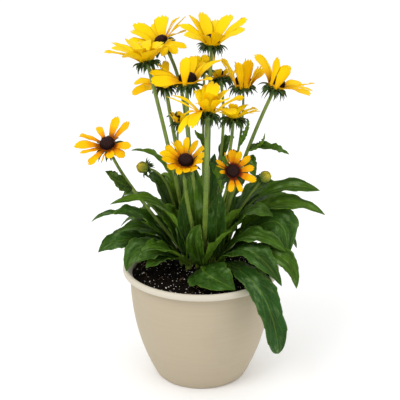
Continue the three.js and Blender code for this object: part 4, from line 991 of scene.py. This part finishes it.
class Finish:
    # A material and the nodes in it
    def __init__(self, name):
        self.material = bpy.data.materials.new(name)
        self.material.use_nodes = True
        self.tree = self.material.node_tree
        self.tree.nodes.clear()

    def node(self, kind, settings, values, output=0):
        made = self.tree.nodes.new("ShaderNode" + kind)
        for name, value in settings.items():
            setattr(made, name, value)
        for name, value in values.items():
            if isinstance(value, Wire):
                self.tree.links.new(value.socket, made.inputs[name])
            else:
                made.inputs[name].default_value = value
        return Wire(self, made.outputs[output])

    def place(self):
        return self.node("TexCoord", {}, {}, "Object")

    def stretched(self, x, y, z):
        return self.node("VectorMath", {"operation": "MULTIPLY"}, {0: self.place(), 1: (x, y, z)})

    def noise(self, scale, detail=3.0, rough=0.5, vector=None):
        # Scale in turns per millimetre
        vector = vector or self.place()
        return self.node("TexNoise", {}, {
            "Vector": vector, "Scale": scale / mm, "Detail": detail, "Roughness": rough})

    def streaks(self, along, sideways, detail):
        # Noise in the coordinates of the pattern
        vector = self.node("CombineXYZ", {}, {0: along, 1: sideways})
        return self.node("TexNoise", {}, {"Vector": vector, "Scale": 1.0, "Detail": detail})

    def mark(self, name):
        return self.node("Attribute", {"attribute_name": name}, {}, "Fac")

    def pattern(self):
        split = self.node("UVMap", {"uv_map": "pattern"}, {})
        along = self.node("SeparateXYZ", {}, {0: split}, "X")
        aside = self.node("SeparateXYZ", {}, {0: split}, "Y")
        return along, (aside - 0.5) * 2

    def mix(self, share, one, other):
        return self.node("Mix", {"data_type": "RGBA"}, {0: share, 6: one, 7: other}, 2)

    def layered(self, colour, *layers):
        # Paints laid over a colour, each by its own share
        for share, shade in layers:
            colour = self.mix(share, colour, shade)
        return colour

    def bump(self, height, distance, strength=1.0):
        return self.node("Bump", {}, {"Strength": strength, "Distance": distance * mm, "Height": height})

    def surface(self, values):
        shader = self.node("BsdfPrincipled", {}, values)
        end = self.tree.nodes.new("ShaderNodeOutputMaterial")
        self.tree.links.new(shader.socket, end.inputs[0])
        return self.material


leafPaint = {
    "deep": paint(16, 40, 0), "fresh": paint(88, 124, 8), "vein": paint(140, 168, 62),
    "under": paint(86, 120, 30), "yellow": paint(128, 146, 34), "cool": paint(30, 73, 28),
    # one grey-green serves for dust on the blade and for a painted sheen
    "dustAndSheen": paint(114, 140, 90), "rough": 0.46, "relief": 0.2,
    # turns per millimetre of the net of veins and of each noise
    "net": 0.42, "patches": 0.045, "dustAndSheenScale": 0.07, "grain": 0.9,
}


def leafFinish():
    finish = Finish("leaf")
    along, sideways = finish.pattern()
    edge = abs(sideways)
    tone = finish.mark("tone")
    apart = 0.5 - abs(veinPhase(along, edge).fract() - 0.5)
    side = (1 - apart.between(0.0, 0.08)) * (1 - edge.between(0.7, 1.0))
    middle = 1 - edge.between(0.012, 0.055)
    # A painted highlight along the leaf's rim, in the paler green of the veins
    rim = edge.between(0.86, 1.0)
    # The grooves of the blade's two folds, where the colour below paints shade
    grooves = sum((1 - abs(edge - spot).between(0.0, 0.09)) * depth for spot, depth in leafStyle["folds"])
    net = finish.node("TexVoronoi", {"feature": "DISTANCE_TO_EDGE"}, {
        "Vector": finish.place(), "Scale": leafPaint["net"] / mm})
    fine = 1 - net.between(0.0, 0.16)
    streak = finish.streaks(along * 3.0, sideways * 2.2 + tone * 40, 5.0)
    patches = finish.noise(leafPaint["patches"], 4.0, 0.6).between(0.34, 0.66)
    # Patches of dust on the blade together with painted sheen, laid over the light streaks
    dustAndSheen = finish.noise(leafPaint["dustAndSheenScale"], 3.0, 0.55).between(0.46, 0.68)
    grain = finish.noise(leafPaint["grain"], 3.0, 0.6)
    # Darker streaks and patches at random, and painted shade towards each leaf's base where the clump shades
    # it
    dark = (1 - streak.between(0.36, 0.6)) * 0.5 + (1 - patches) * 0.3 + (1 - along.between(0, 0.42)) * 0.4
    green = finish.layered(
        leafPaint["cool"], (tone * 0.6 + finish.mark("warm") * 0.25, leafPaint["fresh"]),
        # Painted shade at each leaf's base and in the grooves of the folds, with darker grain at random
        (dark, leafPaint["deep"]), (grooves * 0.35 + grain.between(0.35, 0.7) * 0.2, leafPaint["deep"]),
        (dustAndSheen * streak.between(0.42, 0.62) * 0.5, leafPaint["dustAndSheen"]),
        # Paler veins, net and midrib, with the painted highlight along the rim
        (fine * 0.05 + side * 0.1 + rim * 0.2, leafPaint["vein"]), (middle * 0.22, leafPaint["vein"]),
        (tone.between(0.92, 1.0) * edge * along * 0.6, leafPaint["yellow"]))
    below = finish.mix((side + middle) * 0.35 + fine * 0.12, leafPaint["under"], leafPaint["vein"])
    colour = finish.mix(finish.mark("lower").between(0.4, 0.75), green, below)
    relief = grain * 0.35 - fine * 0.3 - side * 0.5 + streak
    return finish.surface({
        "Base Color": colour, "Roughness": grain * 0.16 + leafPaint["rough"], "Specular IOR Level": 0.1,
        "Normal": finish.bump(relief, leafPaint["relief"], 0.8),
    })


stemPaint = {
    "light": paint(118, 138, 48), "dark": paint(74, 98, 30), "hair": paint(158, 172, 98), "rough": 0.5,
    "streaks": 0.7, "stretch": 0.08, "patches": 0.05, "relief": 0.12,
}


def stemFinish():
    finish = Finish("stem")
    streaks = finish.noise(stemPaint["streaks"], 3.0, 0.5, finish.stretched(1, 1, stemPaint["stretch"]))
    patches = finish.noise(stemPaint["patches"])
    share = streaks.between(0.35, 0.7) * 0.6 + patches.between(0.4, 0.7) * 0.4
    colour = finish.mix(share, stemPaint["light"], stemPaint["dark"])
    relief = finish.bump(streaks, stemPaint["relief"], 0.5)
    return finish.surface({"Base Color": colour, "Roughness": stemPaint["rough"], "Normal": relief})


def plainFinish(name, one, other, scale, rough, relief=0.1, tone=0.5, shine=0.3):
    # Two colours mixed by noise and by the tone of each grain
    finish = Finish(name)
    grain = finish.noise(scale, 5.0, 0.6)
    share = grain.between(0.3, 0.7) * (1 - tone) + finish.mark("tone") * tone
    return finish.surface({
        "Base Color": finish.mix(share, one, other), "Roughness": rough, "Specular IOR Level": shine,
        "Normal": finish.bump(grain, relief, 0.8),
    })


bractPaint = {"deep": paint(22, 42, 10), "light": paint(72, 102, 34)}
petalPaint = {
    "yellow": paint(236, 202, 0), "deep": paint(230, 184, 0), "orange": paint(226, 138, 0),
    # under: the underside's own yellow, made brighter and warmer to paint light shining through the petal
    "flame": paint(128, 38, 6), "warm": paint(232, 166, 2), "under": paint(250, 198, 4),
    "green": paint(104, 124, 30), "rough": 0.55, "relief": 0.14, "lines": 9, "budLines": 5, "wobble": 0.12,
}


def petalFinish():
    finish = Finish("petal")
    along, sideways = finish.pattern()
    warm = finish.mark("warm")
    tone = finish.mark("tone")
    wobble = finish.noise(petalPaint["wobble"], 2.0)
    lines = ((sideways * petalPaint["lines"] + wobble * 1.6) * math.pi).sine() * 0.5 + 0.5
    streak = finish.streaks(along * 1.2, sideways * 7 + tone * 40, 4.0)
    reach = streak * 0.24 + 0.02 + warm * 0.2
    orange = (1 - (along - reach).between(0.0, 0.26)) * (0.3 + warm * 0.6)
    flame = (1 - (along - streak * 0.36).between(-0.08, 0.1)) * warm
    colour = finish.layered(
        petalPaint["yellow"], (streak.between(0.35, 0.75) * 0.3 + tone * 0.2, petalPaint["deep"]),
        (warm * (0.5 + tone * 0.4), petalPaint["warm"]), (orange, petalPaint["orange"]),
        # The underside: its own colour, brightened and warmed as painted light shining through the petal
        (flame, petalPaint["flame"]), (finish.mark("lower").between(0.4, 0.75) * 0.5, petalPaint["under"]))
    return finish.surface({
        "Base Color": colour, "Roughness": petalPaint["rough"], "Specular IOR Level": 0.08,
        "Normal": finish.bump(lines * 0.6 + streak * 0.4, petalPaint["relief"], 0.5),
    })


def budFinish():
    finish = Finish("bud petal")
    along, sideways = finish.pattern()
    tone = finish.mark("tone")
    lines = (sideways * petalPaint["budLines"] * math.pi).sine() * 0.5 + 0.5
    share = along.between(0.2, 1.1) * 0.6 + tone * 0.15
    colour = finish.mix(share, petalPaint["green"], petalPaint["yellow"])
    relief = finish.bump(lines, petalPaint["relief"], 0.5)
    return finish.surface({"Base Color": colour, "Roughness": 0.5, "Normal": relief})


conePaint = {
    # top and tip are lighter browns for the painted highlight on the cone's top and on its floret tips
    "rim": paint(30, 11, 9), "top": paint(84, 50, 48), "tip": paint(132, 88, 76), "deep": paint(20, 8, 7),
    "rough": 0.8,
}


def coneFinish():
    finish = Finish("cone")
    # The warm mark holds the height on the cone: its top and the floret tips there get a painted highlight
    level = finish.mark("warm").between(0.25, 0.95)
    colour = finish.layered(
        conePaint["rim"], (level * (0.6 + finish.mark("tone") * 0.4), conePaint["top"]),
        (finish.mark("lower").between(0.7, 1.0) * 0.35 * level, conePaint["tip"]))
    return finish.surface({"Base Color": colour, "Roughness": conePaint["rough"], "Specular IOR Level": 0.12})


potPaint = {
    "body": paint(172, 159, 136), "light": paint(182, 171, 150), "dark": paint(150, 136, 112),
    # lip: a lighter beige for the painted highlight on the pot's top band
    "lip": paint(198, 191, 175), "rough": 0.5, "shine": 0.35, "lines": 0.012, "squeeze": 26,
    "patches": 0.018, "grain": 1.6, "relief": 0.1,
}


def potFinish():
    # Fine turning lines: noise drawn out round the pot, squeezed along its height
    finish = Finish("pot")
    lines = finish.noise(potPaint["lines"], 3.0, 0.5, finish.stretched(1, 1, potPaint["squeeze"]))
    patches = finish.noise(potPaint["patches"], 4.0, 0.55)
    grain = finish.noise(potPaint["grain"], 3.0, 0.6)
    height = finish.pattern()[1]
    colour = finish.layered(
        potPaint["body"], (lines.between(0.35, 0.68) * 0.14, potPaint["light"]),
        # Painted highlight: the band at the top of the pot, the lip with it, is painted lighter than the body
        (height.between(0.84, 0.9) * 0.9, potPaint["lip"]),
        (patches.between(0.52, 0.75) * 0.14, potPaint["dark"]),
        (grain.between(0.62, 0.8) * 0.12, potPaint["dark"]))
    return finish.surface({
        "Base Color": colour, "Roughness": grain * 0.2 + potPaint["rough"],
        "Specular IOR Level": potPaint["shine"],
        "Normal": finish.bump(lines * 0.75 + grain * 0.25, potPaint["relief"], 0.35),
    })


finishes = {
    "leaf": leafFinish(), "stem": stemFinish(), "petal": petalFinish(), "bud": budFinish(),
    "cone": coneFinish(), "pot": potFinish(),
    "hair": plainFinish("hair", stemPaint["hair"], stemPaint["light"], 1, 0.6),
    "bract": plainFinish("bract", bractPaint["deep"], bractPaint["light"], 0.5, 0.55, 0.15),
    "dome": plainFinish("dome", conePaint["deep"], conePaint["rim"], 0.8, 0.9),
    "soil": plainFinish("soil", paint(10, 8, 6), paint(26, 20, 16), 0.5, 0.95, 0.5, 0.1, 0.05),
    "clod": plainFinish("clod", paint(12, 9, 7), paint(40, 29, 21), 0.7, 0.95, 0.3, 0.5, 0.05),
    "perlite": plainFinish("perlite", paint(236, 234, 228), paint(190, 184, 172), 0.9, 0.9, 0.2),
    "fibre": plainFinish("fibre", paint(150, 120, 84), paint(90, 68, 46), 0.6, 0.85),
    "floor": plainFinish("floor", (0.94, 0.94, 0.94, 1), (0.94, 0.94, 0.94, 1), 0.001, 0.8, 0.0),
}
print("finishes made")

# The heads

flowers = [Flower(name, row) for name, row in blooms.items()]
budHeads = [Flower(name, row, isBud=True) for name, row in buds.items()]
warmth = {
    "bloom_11": 0.8, "bloom_12": 0.65, "bloom_13": 1, "bloom_14": 0.5, "bloom_08": 0.3, "bloom_07": 0.3,
    "bloom_05": 0.5, "bloom_04": 0.2, "bloom_15": 0.4,
}
slender = {"bloom_11": 0.84, "bloom_12": 0.83, "bloom_13": 0.84, "bloom_14": 0.9}
seed = 0
for index, flower in enumerate(flowers):
    node, warm = flower.name + "_petals", warmth.get(flower.name, 0)
    corners = cornersOf(node)
    petals, missing = Heap(), 0
    addHub(petals, flower, warm)
    draw = drawFrom(101 + 7 * index)
    for row in petalPlaces(flower, draw):
        seed += 1
        spine = petalSpine(flower, row, draw)
        found = settled(spine, spine["width"] / 2 * petalStyle["frameEnd"], corners)
        if found is None:
            missing += 1
        else:
            addPetal(petals, found, seed, warm, slender.get(flower.name, 1))
    for row in quills.get(flower.name, ()):
        seed += 1
        thin = {**petalSpine(flower, (*row, 1, 6, 0), draw), "width": petalStyle["quillWidth"]}
        addPetal(petals, thin, seed, warm, isQuill=True)
    place(node, petals, "petal", node, "petal")
    node = flower.name + "_cone"
    place(node, filled(addCone, flower, index), "cone", node, "dome", "cone")
    if missing:
        print(flower.name, "petals not found in the frame:", missing)
print("petals and cones made:", seed)

for index, flower in enumerate(flowers + budHeads):
    node = flower.name + "_stem"
    place(node, filled(addStem, flower, index), "stem", node, "stem", "hair")
    place(flower.name + "_bracts", filled(addBracts, flower, index), "leaf", node, "bract")
for index, bud in enumerate(budHeads):
    node = bud.name + "_petals"
    place(node, filled(addBud, bud, index), "petal", node, "bud")
print("stems, bracts and buds made")

# The leaves, on stems and on shoots from the soil

byName = {flower.name: flower for flower in flowers}
foliage, places, cache, lost = {}, dict.fromkeys(shoots, 0), {}, 0
for index, leaf in enumerate(leaves):
    on = leaf[0]
    if on in byName:
        base, node = byName[on].route(leaf[8]["height"])[0], on + "_stem"
    else:
        foot = shootFoot(on, ground["leafRise"])
        aim = math.atan2(leaf[1][1] - foot[1], leaf[1][0] - foot[0])
        reach = ground["leafReach"]
        step = np.array([reach * math.cos(aim), reach * math.sin(aim), ground["leafStep"] * places[on]])
        base, node = foot + step, on
        places[on] += 1
    if node not in cache:
        cache[node] = cornersOf(node)
    found = settled(leafSpine(leaf, base, index), leafStyle["frameEnd"], cache[node])
    if found is None:
        lost += 1
        print("leaf not found in the frame:", index, on)
        continue
    addLeaf(foliage.setdefault(node, Heap()), found, seeds["leaf"] + index)
for name, count in places.items():
    # A stub that carries the stalks: level from the soil, share of the radius
    top = ground["leafRise"] + ground["leafStep"] * count
    stub = [(-ground["plantedDepth"], 1), (0, 1.05), (ground["leafRise"], 1), (top, 0.7), (top + 1.2, 0.3)]
    x, y, soil = shootFoot(name, 0)
    rings = lathed([(ground["shootRadius"] * share, soil + level) for level, share in stub],
                   turnsOf(ground["shootSides"]), x, y)
    foliage[name].add(rings, skin(rings), (0, 0.5), (0.5, 0, 0), 1)
for node, heap in foliage.items():
    place(node.replace("_stem", "_leaves"), heap, "leaf", node, "leaf", "stem")
print("leaves made:", len(leaves) - lost)

# Soil and pot

bed = filled(addSoil)
addFibres(bed, seeds["fibres"])
place("soil", bed, "soil", "soil", "soil", "fibre")
grains = {
    "clods": {"finish": "clod", "count": 620, "size": (0.7, 2.3), "flat": 0.7, "rough": 0.3, "seed": 63},
    "perlite": {
        "finish": "perlite", "count": 480, "size": (0.4, 1.35), "flat": 0.8, "rough": 0.16, "seed": 64,
    },
}
draw = np.random.default_rng(seeds["grains"])
for name, kind in grains.items():
    count, (low, high) = kind["count"], kind["size"]
    sizes = low + (high - low) * draw.uniform(0, 1, count) ** 2.2
    centres = strewn(count, kind["seed"]) + np.column_stack([np.zeros((count, 2)), sizes * 0.2])
    heap = filled(addLumps, centres, sizes, kind, draw.uniform(0, 1, count))
    place("soil_" + name, heap, "soil", "soil", kind["finish"])
pierced(place("pot", filled(addPot), "pot", "pot", "pot"))
print("soil and pot made")

# Floor, light and camera

studio = {
    "floor": 14, "floorSides": 64, "world": 1.08, "key": 26, "keyPlace": (-1.4, -1.5, 2.2), "keySize": 1.5,
    "fill": 6, "fillPlace": (1.8, -1.2, 1.4), "fillSize": 2, "aim": (0, 0, 0.2),
    "cameraPlace": (0, -1, 0.56447), "cameraTurn": (71.66, 0, 0.08), "focalShare": 844.25 / 400, "sensor": 36,
}
disc = lathed([(studio["floor"] / mm, 0)], turnsOf(studio["floorSides"]))
floor = filled(Heap.add, disc, [np.arange(studio["floorSides"])[None]])
linked("floor", meshFrom("floor", floor, "floor"))


def addLight(name, power, spot, size):
    light = bpy.data.lights.new(name, "AREA")
    light.energy, light.size, light.shape = power, size, "DISK"
    holder = linked(name, light)
    holder.location = spot
    aim = Vector(studio["aim"]) - Vector(spot)
    holder.rotation_euler = aim.to_track_quat("-Z", "Y").to_euler()


addLight("key", studio["key"], studio["keyPlace"], studio["keySize"])
addLight("fill", studio["fill"], studio["fillPlace"], studio["fillSize"])
world = bpy.data.worlds.new("studio")
world.use_nodes = True
world.node_tree.nodes["Background"].inputs[0].default_value = (1, 1, 1, 1)
world.node_tree.nodes["Background"].inputs[1].default_value = studio["world"]
bpy.context.scene.world = world

lens = bpy.data.cameras.new("camera")
lens.sensor_fit, lens.sensor_width = "HORIZONTAL", studio["sensor"]
lens.lens = studio["sensor"] * studio["focalShare"]
camera = linked("camera", lens)
camera.location = studio["cameraPlace"]
camera.rotation_euler = [math.radians(angle) for angle in studio["cameraTurn"]]
bpy.context.scene.camera = camera
bpy.context.scene.view_settings.view_transform = "Standard"

print("floor, light and camera set")
